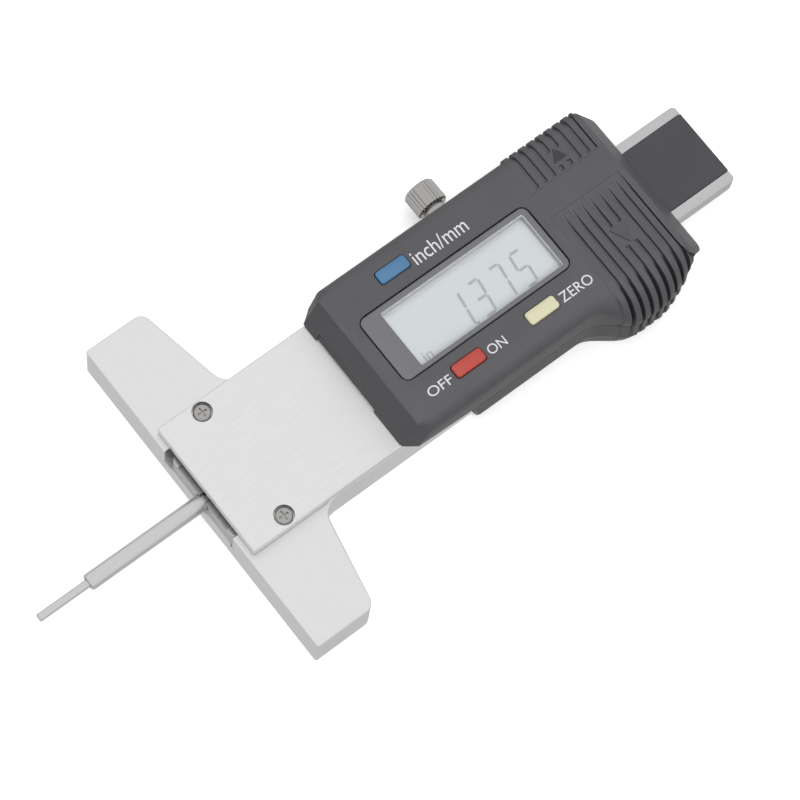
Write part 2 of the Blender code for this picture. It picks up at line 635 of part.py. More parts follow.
def make_lock(root):
    axis = add_empty("lock_axis", (LOCK_X, 0, LOCK_Z), root)
    pad = cylinder(LOCK_PAD_RADIUS, LOCK_PAD_Y, LOCK_PAD_Y + LOCK_PAD_THICKNESS, (0, 0, 0), "Y")
    add_object("lock_pad", *pad, "brass", axis, smooth=True)

    thread_y = LOCK_PAD_Y + LOCK_PAD_THICKNESS + SMALL_GAP
    stations = [
        (LOCK_THREAD_RADIUS, 0, thread_y),
        (LOCK_THREAD_RADIUS, 0, LOCK_NECK_Y),
        (LOCK_NECK_RADIUS, 0, LOCK_NECK_Y),
        (LOCK_NECK_RADIUS, 0, LOCK_KNOB_Y),
        (LOCK_KNOB_RADIUS - LOCK_KNOB_EDGE, 0, LOCK_KNOB_Y),
        (LOCK_KNOB_RADIUS, LOCK_KNURL_DEPTH, LOCK_KNOB_Y + LOCK_KNOB_EDGE),
        (LOCK_KNOB_RADIUS, LOCK_KNURL_DEPTH, LOCK_KNOB_END_Y - LOCK_KNOB_EDGE),
        (LOCK_KNOB_RADIUS - LOCK_KNOB_EDGE, 0, LOCK_KNOB_END_Y),
    ]
    rings = [knurled_ring(radius, depth, y) for radius, depth, y in stations]
    add_object("lock_screw", *loft(rings), "nickel", axis, smooth=True)


# Housing form: one side profile serves the housing halves and both covers

def smooth_step(value, start, end):
    share = min(max((value - start) / (end - start), 0), 1)
    return share * share * (3 - 2 * share)


def flare_share(x):
    """How far the plain side has swung out into the thumb grip, from nothing to fully."""
    swing_out = smooth_step(x, FLARE_START_X, FLARE_FULL_X)
    return swing_out * (1 - smooth_step(x, FLARE_FALL_X, TAIL_X + TAIL_CORNER))


def rise_share(z):
    """Share of the housing's height that a place lies above the rim."""
    return (z - HOUSING_RIM_Z) / (HOUSING_TOP_Z - HOUSING_RIM_Z)


def side_reach(x, side):
    return HOUSING_HALF_WIDTH + (FLARE_REACH * flare_share(x) if side < 0 else 0)


def side_profile(x, side, offset=0):
    """Points (y, z) of one side from the rim up to the flat top, moved out by an offset."""
    reach = side_reach(x, side)
    drop = HOUSING_TOP_RADIUS + (FLARE_TOP_DROP - HOUSING_TOP_RADIUS) * (flare_share(x) if side < 0 else 0)
    top_y = HOUSING_HALF_WIDTH - HOUSING_TOP_RADIUS
    points = [(reach - HOUSING_RIM_DRAFT + offset, HOUSING_RIM_Z)]
    for step in range(CORNER_STEPS + 2):
        turn = math.pi / 2 * step / (CORNER_STEPS + 1)
        y = top_y + (reach - top_y + offset) * math.cos(turn)
        z = HOUSING_TOP_Z - drop + (drop + offset) * math.sin(turn)
        points.append((y, z))
    return [(side * y, z) for y, z in points]


def housing_ring(x, offset=0, rim_z=HOUSING_RIM_Z):
    """Cross-section of the housing at one place along it, as a ring of points."""
    right = side_profile(x, -1, offset)
    left = side_profile(x, 1, offset)
    return [(x, y, rim_z if z <= HOUSING_RIM_Z else z) for y, z in right + left[::-1]]


def front_ring(setback, half_width):
    """A ring parallel to the sloped front face, with the same points as a cross-section."""
    points = []
    for x, y, z in housing_ring(FRONT_FOOT_X + setback):
        side = 1 if y > 0 else -1
        points.append((x + FRONT_LEAN * rise_share(z), side * min(abs(y), half_width), z))
    return points


def housing_stations(start, end):
    """Places along the housing where its section changes, close together at the flare."""
    flare = [FLARE_START_X + (TAIL_X - FLARE_START_X) * i / FLARE_STEPS
             for i in range(FLARE_STEPS)]
    return [start] + [x for x in flare if start < x < end] + [end]


def tail_slope(foot_x, z):
    """Place along X of a plane parallel to the sloped tail, at a height."""
    return foot_x - TAIL_LEAN * rise_share(z)


def tail_envelope():
    """Everything in front of the sloped tail, with its two upright corners rounded."""
    front_x = FRONT_FOOT_X - TAIL_LEAN
    flare_y = -side_reach(TAIL_X, -1)
    plan = rounded_outline([(front_x, flare_y - FLARE_REACH - TAIL_CORNER, 0),
                            (front_x, HOUSING_HALF_WIDTH + OVERRUN, 0),
                            (COVER_START_X, HOUSING_HALF_WIDTH + OVERRUN, 0),
                            (TAIL_X, HOUSING_HALF_WIDTH, TAIL_CORNER), (TAIL_X, flare_y, TAIL_CORNER),
                            (FLARE_FALL_X, flare_y - FLARE_REACH - TAIL_CORNER, 0)])
    heights = (HOUSING_RIM_Z - OVERRUN, HOUSING_TOP_Z + OVERRUN)
    return loft([[(tail_slope(x, z), y, z) for x, y in plan] for z in heights])


def cover_bay(y_range, side):
    """Tool for a cover's bay: down to the bay floor inside, and past the rim at the outer wall."""
    inner_y, outer_y = y_range
    wall_y = side * (HOUSING_HALF_WIDTH - HOUSING_RIM_DRAFT - COVER_WALL - SEAT_GAP)
    section = [(inner_y, BAY_FLOOR_Z), (wall_y, BAY_FLOOR_Z), (wall_y, HOUSING_RIM_Z - OVERRUN),
               (outer_y, HOUSING_RIM_Z - OVERRUN), (outer_y, HOUSING_TOP_Z + OVERRUN),
               (inner_y, HOUSING_TOP_Z + OVERRUN)]
    start = [(COVER_START_X - SEAT_GAP, y, z) for y, z in section]
    return loft([start, [(tail_slope(COVER_END_X, z), y, z) for y, z in section]])


def make_top_housing(root):
    rings = [front_ring(0, HOUSING_HALF_WIDTH - FRONT_CORNER),
             front_ring(FRONT_CORNER_DEPTH, HOUSING_HALF_WIDTH)]
    behind_front = FRONT_FOOT_X + FRONT_LEAN + FRONT_CORNER_DEPTH + SMALL_GAP
    for x in housing_stations(behind_front, TAIL_X + OVERRUN):
        rings.append(housing_ring(x))
    shell = add_object("top_housing", *loft(rings), "housing_plastic", root, smooth=True)
    cut(shell, "sloped_tail", tail_envelope(), "INTERSECT")

    inner_end = COVER_START_X - SEAT_GAP - HOUSING_WALL
    inner = [housing_ring(x, -HOUSING_WALL, HOUSING_RIM_Z - OVERRUN)
             for x in (FRONT_FOOT_X + FRONT_LEAN + HOUSING_WALL, FLARE_START_X, inner_end)]
    cut(shell, "housing_cavity", loft(inner))

    reach = HOUSING_HALF_WIDTH + FLARE_REACH + OVERRUN
    cut(shell, "battery_bay", cover_bay((BATTERY_COVER_Y + SEAT_GAP, -reach), -1))
    cut(shell, "port_bay", cover_bay((PORT_COVER_Y - SEAT_GAP, reach), 1))

    step_z = PLATE_TOP_Z + SEAT_GAP
    wedge = [(FRONT_FOOT_X - OVERRUN, HOUSING_RIM_Z - OVERRUN), (SHOULDER_X, HOUSING_RIM_Z - OVERRUN),
             (SHOULDER_X, HOUSING_RIM_Z), (PLATE_END_X + SEAT_GAP, step_z), (FRONT_FOOT_X - OVERRUN, step_z)]
    cut(shell, "front_underside_cut", loft([[(x, y, z) for x, z in wedge] for y in (-reach, reach)]))

    pocket_x = FRONT_FOOT_X + FRONT_LEAN * rise_share(FRONT_POCKET_TOP_Z) + FRONT_POCKET_DEPTH
    foot_x = FRONT_FOOT_X + FRONT_LEAN * rise_share(HOUSING_RIM_Z - OVERRUN) + FRONT_POCKET_DEPTH
    pocket = [(foot_x - OVERRUN, HOUSING_RIM_Z - OVERRUN), (foot_x, HOUSING_RIM_Z - OVERRUN),
              (pocket_x, FRONT_POCKET_TOP_Z), (pocket_x - OVERRUN, FRONT_POCKET_TOP_Z)]
    pocket_ends = (-FRONT_POCKET_REACH_PLAIN_SIDE, FRONT_POCKET_REACH_GIB_SIDE)
    cut(shell, "front_pocket", loft([[(x, y, z) for x, z in pocket] for y in pocket_ends]))

    lip_y = HOUSING_HALF_WIDTH - HOUSING_WALL + SMALL_GAP
    lips = [block((PLATE_END_X + SEAT_GAP, SHOULDER_X - SEAT_GAP),
                  sorted((side * lip_y, side * (lip_y - SEAT_LIP_WIDTH))), (PLATE_Z, SEAT_LIP_TOP_Z))
            for side in (-1, 1)]
    lips.append(block((FRAME_END_X + SEAT_GAP, TAIL_X - SEAT_GAP), (-BEAM_HALF, BEAM_HALF),
                      (BEAM_TOP_Z + SEAT_GAP, BAY_FLOOR_Z - SMALL_GAP)))
    cut(shell, "closing_lips", joined(lips), "UNION")

    bosses, pilots = [], []
    for side in (-1, 1):
        for x in HOUSING_SCREW_X:
            centre = (x, side * HOUSING_SCREW_Y, 0)
            bosses.append(cylinder(BOSS_RADIUS, BOSS_Z, HOUSING_TOP_Z - HOUSING_WALL / 2, centre, "Z",
                                   SMALL_CIRCLE_STEPS))
            pilots.append(cylinder(HOUSING_SCREW_RADIUS + SMALL_GAP, BOSS_Z - OVERRUN,
                                   HOUSING_SCREW_TOP_Z + SEAT_GAP, centre, "Z", SMALL_CIRCLE_STEPS))
    cut(shell, "screw_bosses", joined(bosses), "UNION")
    cut(shell, "screw_pilots", joined(pilots))

    recess = rounded_box_outline((BEZEL_X[0] - SMALL_GAP, BEZEL_X[1] + SMALL_GAP),
                                 (-BEZEL_HALF_WIDTH - SMALL_GAP, BEZEL_HALF_WIDTH + SMALL_GAP), BEZEL_RADIUS)
    recess_z = HOUSING_TOP_Z - BEZEL_SINK - BEZEL_THICKNESS - SMALL_GAP
    cut(shell, "bezel_recess", prism(recess, recess_z, HOUSING_TOP_Z + OVERRUN))
    margin = LENS_MARGIN + SEAT_GAP
    opening = rounded_box_outline((WINDOW_X[0] - margin, WINDOW_X[1] + margin),
                                  (-WINDOW_HALF_WIDTH - margin, WINDOW_HALF_WIDTH + margin), WINDOW_RADIUS)
    cut(shell, "lens_opening", prism(opening, CEILING_Z - OVERRUN, HOUSING_TOP_Z))
    slots = []
    for x, y in BUTTON_PLACES.values():
        outline = rounded_box_outline((x - BUTTON_LENGTH / 2 - SMALL_GAP, x + BUTTON_LENGTH / 2 + SMALL_GAP),
                                      (y - BUTTON_WIDTH / 2 - SMALL_GAP, y + BUTTON_WIDTH / 2 + SMALL_GAP),
                                      BUTTON_RADIUS)
        slots.append(prism(outline, CEILING_Z - OVERRUN, HOUSING_TOP_Z + OVERRUN))
    cut(shell, "button_slots", joined(slots))


def rib_stations(start, end):
    """Places along the ribs with the surface's offset there: raised lands with flat grooves between."""
    stations = [(start, 0)]
    for index in range(RIB_COUNT):
        x = COVER_START_X + RIB_PITCH * index
        stations += [(x + RIB_FLANK, RIB_HEIGHT), (x + RIB_FLANK + RIB_LAND, RIB_HEIGHT),
                     (x + 2 * RIB_FLANK + RIB_LAND, -RIB_VALLEY), (x + RIB_PITCH, -RIB_VALLEY)]
    stations.append((COVER_START_X + RIB_PITCH * RIB_COUNT + RIB_FLANK, 0))
    return [station for station in stations if start <= station[0] < end] + [(end, 0)]


def cover_ring(x, bump, side, inner_y):
    """Section of a cover: ribbed outside, plain wall inside, at one place along it."""
    outer = side_profile(x, side, bump)
    plain = side_profile(x, side)
    outer[0] = (outer[0][0], HOUSING_RIM_Z + SMALL_GAP)
    margin_y = inner_y + side * RIB_INNER_MARGIN
    outer += [(margin_y, HOUSING_TOP_Z + bump), (inner_y, plain[-1][1])]
    inner = side_profile(x, side, -COVER_WALL)
    inner[0] = (inner[0][0], HOUSING_RIM_Z + SMALL_GAP)
    inner += [(inner_y, inner[-1][1])]
    return [(x, y, z) for y, z in outer + inner[::-1]]


def arrow(centre, side):
    """Raised triangle that points the way a cover slides off."""
    x, y = centre
    tip = y + side * ARROW_LENGTH
    outline = [(x - ARROW_WIDTH / 2, y), (x + ARROW_WIDTH / 2, y), (x, tip)]
    return prism(outline, HOUSING_TOP_Z - ARROW_SINK, HOUSING_TOP_Z + ARROW_RISE)


def make_cover(name, side, inner_y, arrow_centre, root):
    rings = [cover_ring(x, bump, side, inner_y) for x, bump in rib_stations(COVER_START_X, COVER_END_X)]
    cover = add_object(name, *loft(rings), "housing_plastic", root, smooth=True)
    reach = HOUSING_HALF_WIDTH + FLARE_REACH + OVERRUN
    heights = (HOUSING_RIM_Z - OVERRUN, HOUSING_TOP_Z + OVERRUN)
    section = [(tail_slope(COVER_END_X - SEAT_GAP, z), z) for z in heights]
    section += [(TAIL_X + OVERRUN, z) for z in heights[::-1]]
    cut(cover, name + "_tail", loft([[(x, y, z) for x, z in section] for y in (-reach, reach)]))
    cut(cover, name + "_arrow", arrow(arrow_centre, side), "UNION")


def lower_ring(x, bump=0, round_in=0):
    """Section of the lower housing as a solid block, ribbed on the thumb grip."""
    right = side_reach(x, -1) - round_in
    left = side_reach(x, 1) - round_in
    ring = [(-right - bump + HOUSING_RIM_DRAFT, LOWER_TOP_Z), (-right - bump, LOWER_SIDE_FOOT_Z),
            (-right + LOWER_FOOT_INSET, round_in), (left - LOWER_FOOT_INSET, round_in),
            (left, LOWER_SIDE_FOOT_Z), (left - HOUSING_RIM_DRAFT, LOWER_TOP_Z)]
    return [(x, y, z) for y, z in ring]


def lower_front_x(z):
    """Where the lower housing's front stands at a height: it leans back towards its foot."""
    return SHOULDER_X + LOWER_FRONT_LEAN * (1 - z / LOWER_TOP_Z)


def make_lower_housing(root):
    rings = []
    for step in range(CORNER_STEPS + 1):
        turn = math.pi / 2 * step / CORNER_STEPS
        setback = LOWER_FRONT_RADIUS * (1 - math.cos(turn))
        ring = lower_ring(setback, 0, LOWER_FRONT_RADIUS * (1 - math.sin(turn)))
        rings.append([(x + lower_front_x(z), y, z) for x, y, z in ring])
    before = [FLARE_START_X]
    run_up = COVER_START_X - FLARE_START_X
    before += [FLARE_START_X + run_up * i / RUN_UP_STEPS for i in range(1, RUN_UP_STEPS)]
    stations = [(x, 0) for x in before] + rib_stations(COVER_START_X, TAIL_X - TAIL_CORNER)
    rings += [lower_ring(x, bump) for x, bump in stations]
    end = [(TAIL_X, y - math.copysign(TAIL_CORNER, y), z) for x, y, z in lower_ring(TAIL_X)]
    lower = add_object("lower_housing", *loft(rings + [end]), "housing_plastic", root, smooth=True)

    wall_y = STEM_HALF + SEAT_GAP
    well = block((SHOULDER_X - OVERRUN, FRAME_END_X + SEAT_GAP), (-wall_y, wall_y),
                 (LOWER_FLOOR, LOWER_TOP_Z + OVERRUN))
    cut(lower, "frame_well", well)
    exit_y = BEAM_HALF + SEAT_GAP
    way_out = block((FRAME_END_X - OVERRUN, TAIL_X + OVERRUN), (-exit_y, exit_y),
                    (CHANNEL_FLOOR_Z, LOWER_TOP_Z + OVERRUN))
    cut(lower, "beam_exit", way_out)
    notch = block((LOCK_X - LOCK_NOTCH_WIDTH / 2, LOCK_X + LOCK_NOTCH_WIDTH / 2),
                  (STEM_HALF, HOUSING_HALF_WIDTH + OVERRUN), (LOCK_NOTCH_FLOOR_Z, LOWER_TOP_Z + OVERRUN))
    cut(lower, "lock_notch", notch)
    holes, heads = [], []
    for side in (-1, 1):
        centre = (HOUSING_SCREW_X[1], side * HOUSING_SCREW_Y, 0)
        holes.append(cylinder(HOUSING_SCREW_RADIUS + SEAT_GAP, -OVERRUN, LOWER_FLOOR + OVERRUN, centre, "Z",
                              SMALL_CIRCLE_STEPS))
        heads.append(cylinder(HOUSING_SCREW_HEAD_RADIUS + SEAT_GAP, -OVERRUN,
                              HOUSING_SCREW_SINK + HOUSING_SCREW_HEAD_HEIGHT + SMALL_GAP, centre, "Z",
                              SMALL_CIRCLE_STEPS))
    cut(lower, "lower_screw_holes", joined(holes))
    cut(lower, "lower_screw_seats", joined(heads))


def make_housing_screws(root):
    head_top = HOUSING_SCREW_SINK + HOUSING_SCREW_HEAD_HEIGHT
    profile = [(HOUSING_SCREW_HEAD_RADIUS, HOUSING_SCREW_SINK), (HOUSING_SCREW_HEAD_RADIUS, head_top),
               (HOUSING_SCREW_RADIUS, head_top), (HOUSING_SCREW_RADIUS, HOUSING_SCREW_TOP_Z)]
    places = [(x, side * HOUSING_SCREW_Y, 0) for x in HOUSING_SCREW_X for side in (1, -1)]
    for number, place in enumerate(places, 1):
        add_screw(f"housing_screw_{number}", profile, place,
                  -OVERRUN, HOUSING_SCREW_SINK + CROSS_SLOT_DEPTH, root)


# Display and electronics

def make_display(root):
    outline = rounded_box_outline(BEZEL_X, (-BEZEL_HALF_WIDTH, BEZEL_HALF_WIDTH), BEZEL_RADIUS)
    bezel_top = HOUSING_TOP_Z - BEZEL_SINK
    frame = prism(outline, bezel_top - BEZEL_THICKNESS, bezel_top)
    bezel = add_object("display_bezel", *frame, "bezel_plastic", root)
    window = rounded_box_outline(WINDOW_X, (-WINDOW_HALF_WIDTH, WINDOW_HALF_WIDTH), WINDOW_RADIUS)
    flared = inset_outline(window, -WINDOW_CHAMFER)
    top = bezel_top + SMALL_GAP
    tool = loft([[(x, y, bezel_top - BEZEL_THICKNESS - OVERRUN) for x, y in window],
                 [(x, y, bezel_top - WINDOW_CHAMFER) for x, y in window],
                 [(x, y, top) for x, y in flared]])
    cut(bezel, "window_opening", tool)

    lens_half = WINDOW_HALF_WIDTH + LENS_MARGIN
    lens = rounded_box_outline((WINDOW_X[0] - LENS_MARGIN, WINDOW_X[1] + LENS_MARGIN),
                               (-lens_half, lens_half), WINDOW_RADIUS)
    add_object("window_lens", *prism(lens, LENS_Z, LENS_Z + LENS_THICKNESS), "clear_plastic", root)
    glass = block(GLASS_X, (-GLASS_HALF_WIDTH, GLASS_HALF_WIDTH), (GLASS_Z, GLASS_Z + GLASS_THICKNESS))
    add_object("lcd_glass", *glass, "lcd_glass", root)
    for name, side in (("conductor_strip_left", 1), ("conductor_strip_right", -1)):
        y = side * ZEBRA_Y
        strip = block(ZEBRA_X, (y - ZEBRA_WIDTH / 2, y + ZEBRA_WIDTH / 2),
                      (BOARD_TOP_Z + SMALL_GAP, GLASS_Z - SMALL_GAP))
        add_object(name, *strip, "rubber", root)


def make_boards(root):
    board = add_object("circuit_board", *block(BOARD_X, (-BOARD_HALF_WIDTH, BOARD_HALF_WIDTH),
                                               (BOARD_Z, BOARD_TOP_Z)), "board_green", root)
    holes = [cylinder(HOUSING_SCREW_RADIUS + SEAT_GAP, BOARD_Z - OVERRUN, BOARD_TOP_Z + OVERRUN,
                      (x, side * HOUSING_SCREW_Y, 0), "Z", SMALL_CIRCLE_STEPS)
             for side in (-1, 1) for x in HOUSING_SCREW_X]
    cut(board, "board_holes", joined(holes))
    pickup = block(PICKUP_X, (-PICKUP_HALF_WIDTH, PICKUP_HALF_WIDTH),
                   (BOARD_Z - SEAT_GAP - PICKUP_THICKNESS, BOARD_Z - SEAT_GAP))
    add_object("pickup_board", *pickup, "board_green", root)

    keypad_z = BOARD_TOP_Z + SMALL_GAP
    sheet_top = keypad_z + KEYPAD_THICKNESS
    keypad = add_object("rubber_keypad", *block(KEYPAD_X, (-KEYPAD_HALF_WIDTH, KEYPAD_HALF_WIDTH),
                                                (keypad_z, sheet_top)), "keypad_rubber", root)
    opening = block(KEYPAD_OPENING_X, (-KEYPAD_OPENING_HALF_WIDTH, KEYPAD_OPENING_HALF_WIDTH),
                    (keypad_z - OVERRUN, sheet_top + OVERRUN))
    cut(keypad, "keypad_opening", opening)
    domes = [turned([(DOME_RADIUS, keypad_z + KEYPAD_THICKNESS / 2), (DOME_RADIUS, sheet_top),
                     (DOME_TOP_RADIUS, sheet_top + DOME_HEIGHT)], (x, y, 0), "Z", SMALL_CIRCLE_STEPS)
             for x, y in BUTTON_PLACES.values()]
    cut(keypad, "keypad_domes", joined(domes), "UNION")


def make_button(name, colour, root):
    x, y = BUTTON_PLACES[name]
    half_x, half_y = BUTTON_LENGTH / 2, BUTTON_WIDTH / 2
    key = rounded_box_outline((-half_x, half_x), (-half_y, half_y), BUTTON_RADIUS)
    flange = rounded_box_outline((-half_x - BUTTON_FLANGE, half_x + BUTTON_FLANGE),
                                 (-half_y - BUTTON_FLANGE, half_y + BUTTON_FLANGE), BUTTON_RADIUS)
    flange_top = CEILING_Z - SMALL_GAP
    flange_z = flange_top - BUTTON_FLANGE_THICKNESS
    top = HOUSING_TOP_Z + BUTTON_RISE
    rings = [[(px, py, flange_z) for px, py in flange], [(px, py, flange_top) for px, py in flange],
             [(px, py, flange_top) for px, py in key], [(px, py, top - BUTTON_EDGE) for px, py in key],
             [(px, py, top) for px, py in inset_outline(key, BUTTON_EDGE)]]
    place = add_empty(name + "_place", (x, y, 0), root)
    button = add_object(name, *loft(rings), colour, place, smooth=True)
    dome_top = BOARD_TOP_Z + SMALL_GAP + KEYPAD_THICKNESS + DOME_HEIGHT
    stem = cylinder(BUTTON_STEM_RADIUS, dome_top + BUTTON_TRAVEL + SMALL_GAP,
                    flange_z + BUTTON_FLANGE_THICKNESS / 2, (0, 0, 0), "Z", SMALL_CIRCLE_STEPS)
    cut(button, name + "_stem", stem, "UNION")


def make_battery(root):
    cell_z = BAY_FLOOR_Z + SMALL_GAP + CONTACT_THICKNESS + SMALL_GAP
    can_z, cell_top = cell_z + CELL_CAP_HEIGHT, cell_z + CELL_HEIGHT
    profile = [(CELL_CAP_RADIUS, cell_z), (CELL_CAP_RADIUS, can_z), (CELL_RADIUS - CELL_EDGE, can_z),
               (CELL_RADIUS, can_z + CELL_EDGE), (CELL_RADIUS, cell_top - CELL_EDGE),
               (CELL_RADIUS - CELL_EDGE, cell_top)]
    add_object("button_cell", *turned(profile, (CELL_X, CELL_Y, 0), "Z"), "cell_steel", root, smooth=True)

    leaf_z = BAY_FLOOR_Z + SMALL_GAP
    leaf_top = leaf_z + CONTACT_THICKNESS
    ends = (CELL_Y - CONTACT_WIDTH / 2, CELL_Y + CONTACT_WIDTH / 2)
    negative = block((CELL_X - CONTACT_LENGTH / 2, CELL_X + CONTACT_LENGTH / 2), ends, (leaf_z, leaf_top))
    add_object("negative_contact", *negative, "nickel", root)
    wall_x = COVER_START_X - SEAT_GAP + SMALL_GAP
    leaf_x = wall_x + CONTACT_THICKNESS
    section = [(wall_x, leaf_z), (wall_x + CONTACT_FOOT, leaf_z), (wall_x + CONTACT_FOOT, leaf_top),
               (leaf_x, leaf_top), (leaf_x, CONTACT_TOP_Z), (wall_x, CONTACT_TOP_Z)]
    positive = loft([[(x, y, z) for x, z in section] for y in ends])
    add_object("positive_contact", *positive, "nickel", root)

    port_z = BAY_FLOOR_Z + SMALL_GAP
    port = add_object("data_port", *block(PORT_X, PORT_Y, (port_z, port_z + PORT_HEIGHT)), "rubber", root)
    pitch = (PORT_X[1] - PORT_X[0]) / PORT_CONTACT_COUNT
    slots = []
    for index in range(PORT_CONTACT_COUNT):
        x = PORT_X[0] + pitch * (index + 0.5)
        slots.append(block((x - PORT_CONTACT_WIDTH / 2, x + PORT_CONTACT_WIDTH / 2),
                           (PORT_Y[0] + PORT_CONTACT_DEPTH, PORT_Y[1] + OVERRUN),
                           (port_z + PORT_HEIGHT - PORT_CONTACT_DEPTH, port_z + PORT_HEIGHT + OVERRUN)))
    cut(port, "port_contact_slots", joined(slots))


def build():
    clear_scene()
    root = add_empty("gauge_origin", (ORIGIN_SHIFT_X, 0, 0))
    slide = add_empty("beam_slide_axis", (0, 0, 0), root)
    make_base(root)
    make_cover_plate(root)
    make_plate_screws(root)
    make_beam(slide)
    make_gib(root)
    make_lock(root)
    make_top_housing(root)
    make_cover("battery_cover", -1, BATTERY_COVER_Y, (BATTERY_ARROW_X, -BATTERY_ARROW_Y), root)
    make_cover("port_cover", 1, PORT_COVER_Y, (PORT_ARROW_X, PORT_ARROW_Y), root)
    make_lower_housing(root)
    make_housing_screws(root)
    make_display(root)
    make_boards(root)
    make_button("inch_mm_button", "blue_plastic", root)
    make_button("power_button", "red_plastic", root)
    make_button("zero_button", "yellow_plastic", root)
    make_battery(root)


build()
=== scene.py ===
import json
import math

import bmesh
import bpy
import numpy as np
from mathutils import Matrix, Vector


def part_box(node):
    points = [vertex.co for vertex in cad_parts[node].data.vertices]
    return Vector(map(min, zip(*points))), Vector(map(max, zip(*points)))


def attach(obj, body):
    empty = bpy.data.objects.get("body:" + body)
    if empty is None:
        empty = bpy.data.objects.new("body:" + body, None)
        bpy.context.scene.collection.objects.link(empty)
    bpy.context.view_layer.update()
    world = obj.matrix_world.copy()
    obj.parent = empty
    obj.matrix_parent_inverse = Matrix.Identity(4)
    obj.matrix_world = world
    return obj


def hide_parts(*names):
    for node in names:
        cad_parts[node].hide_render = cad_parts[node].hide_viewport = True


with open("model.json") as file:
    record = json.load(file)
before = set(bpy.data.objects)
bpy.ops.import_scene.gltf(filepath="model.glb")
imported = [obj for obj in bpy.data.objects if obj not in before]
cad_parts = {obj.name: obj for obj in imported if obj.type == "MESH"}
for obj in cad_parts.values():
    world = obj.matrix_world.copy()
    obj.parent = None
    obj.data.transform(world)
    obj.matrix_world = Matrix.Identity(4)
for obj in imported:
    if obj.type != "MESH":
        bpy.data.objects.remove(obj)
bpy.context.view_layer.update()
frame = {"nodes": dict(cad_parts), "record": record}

mm = 0.001

# Places are in millimetres: x from the measuring face, y across the gauge, z up from the underside
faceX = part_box("measuring_base")[0][0] / mm


def place(points):
    # millimetres from the measuring face to metres in the frame
    points = np.asarray(points, float)
    return (points + np.array([faceX, 0.0, 0.0])) * mm


def nodeBox(name):
    # lowest and highest corner of a solid, in millimetres from the measuring face
    low, high = (np.array(corner) / mm - np.array([faceX, 0.0, 0.0]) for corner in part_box(name))
    return low, high


# Node helpers for materials

def newMaterial(name):
    # the material, its tree and its shader
    made = bpy.data.materials.new(name)
    made.use_nodes = True
    tree = made.node_tree
    return made, tree, tree.nodes["Principled BSDF"]


def setInputs(node, values):
    # several inputs of one node, by their names
    for key, value in values.items():
        node.inputs[key].default_value = value


def objectCoords(tree, scale=(1, 1, 1), turn=(0, 0, 0)):
    # object coordinates, stretched so that a pattern runs along one axis
    coords = tree.nodes.new("ShaderNodeTexCoord")
    mapping = tree.nodes.new("ShaderNodeMapping")
    mapping.inputs["Scale"].default_value = scale
    mapping.inputs["Rotation"].default_value = turn
    tree.links.new(coords.outputs["Object"], mapping.inputs["Vector"])
    return mapping.outputs["Vector"]


def noiseNode(tree, vector, scale, detail=3.0, roughness=0.5):
    # fractal noise between nothing and one, finer with the scale
    node = tree.nodes.new("ShaderNodeTexNoise")
    tree.links.new(vector, node.inputs["Vector"])
    setInputs(node, {"Scale": scale, "Detail": detail, "Roughness": roughness})
    return node.outputs["Fac"]


def spread(tree, value, low, high, fromLow=0.3, fromHigh=0.7):
    # a noise value carried over to a range
    node = tree.nodes.new("ShaderNodeMapRange")
    tree.links.new(value, node.inputs["Value"])
    setInputs(node, {"From Min": fromLow, "From Max": fromHigh, "To Min": low, "To Max": high})
    return node.outputs["Result"]


def colourBetween(tree, value, dark, light):
    # dark at nothing, light at one
    node = tree.nodes.new("ShaderNodeMix")
    node.data_type = "RGBA"
    tree.links.new(value, node.inputs["Factor"])
    node.inputs["A"].default_value = (*dark, 1)
    node.inputs["B"].default_value = (*light, 1)
    return node.outputs["Result"]


def addBump(tree, shader, height, strength, distance):
    # the height tilts the surface, and moves no point of it
    bump = tree.nodes.new("ShaderNodeBump")
    setInputs(bump, {"Strength": strength, "Distance": distance})
    tree.links.new(height, bump.inputs["Height"])
    tree.links.new(bump.outputs["Normal"], shader.inputs["Normal"])


def toneAround(tree, value, colour, change):
    # the colour, darker and lighter by a share of itself as the noise falls and rises
    dark, light = (tuple(c * factor for c in colour) for factor in (1 - change, 1 + change))
    return colourBetween(tree, spread(tree, value, 0, 1), dark, light)


steelFinish = {
    "plateColour": (0.80, 0.80, 0.80), "groundColour": (0.79, 0.785, 0.79), "beamColour": (0.55, 0.55, 0.56),
    "pinColour": (0.62, 0.62, 0.63), "stretch": 40.0, "grainScale": 9000.0, "grainDepth": 0.004 * mm,
    "grainDetail": 4.0, "grainRoughness": 0.6, "patchScale": 90.0, "patchDetail": 2.0,
    "scratchWear": 0.05, "patchWear": 0.03, "bump": 0.5,
}


def brushedSteel(name, colour, roughness, along, depth=1.0, change=0.06):
    # fine scratches: noise drawn out along one axis moves the colour, the roughness and the bump
    v = steelFinish
    made, tree, shader = newMaterial(name)
    squeeze = [1.0, 1.0, 1.0]
    squeeze[along] = 1 / v["stretch"]
    scratches = noiseNode(tree, objectCoords(tree, squeeze), v["grainScale"], v["grainDetail"],
                          v["grainRoughness"])
    patches = noiseNode(tree, objectCoords(tree), v["patchScale"], v["patchDetail"])
    tree.links.new(toneAround(tree, scratches, colour, change), shader.inputs["Base Color"])
    wear = tree.nodes.new("ShaderNodeMath")
    wear.operation = "ADD"
    scratched = spread(tree, scratches, roughness - v["scratchWear"], roughness + v["scratchWear"])
    tree.links.new(scratched, wear.inputs[0])
    tree.links.new(spread(tree, patches, -v["patchWear"], v["patchWear"]), wear.inputs[1])
    tree.links.new(wear.outputs[0], shader.inputs["Roughness"])
    shader.inputs["Metallic"].default_value = 1.0
    addBump(tree, shader, scratches, v["bump"] * depth, v["grainDepth"])
    return made


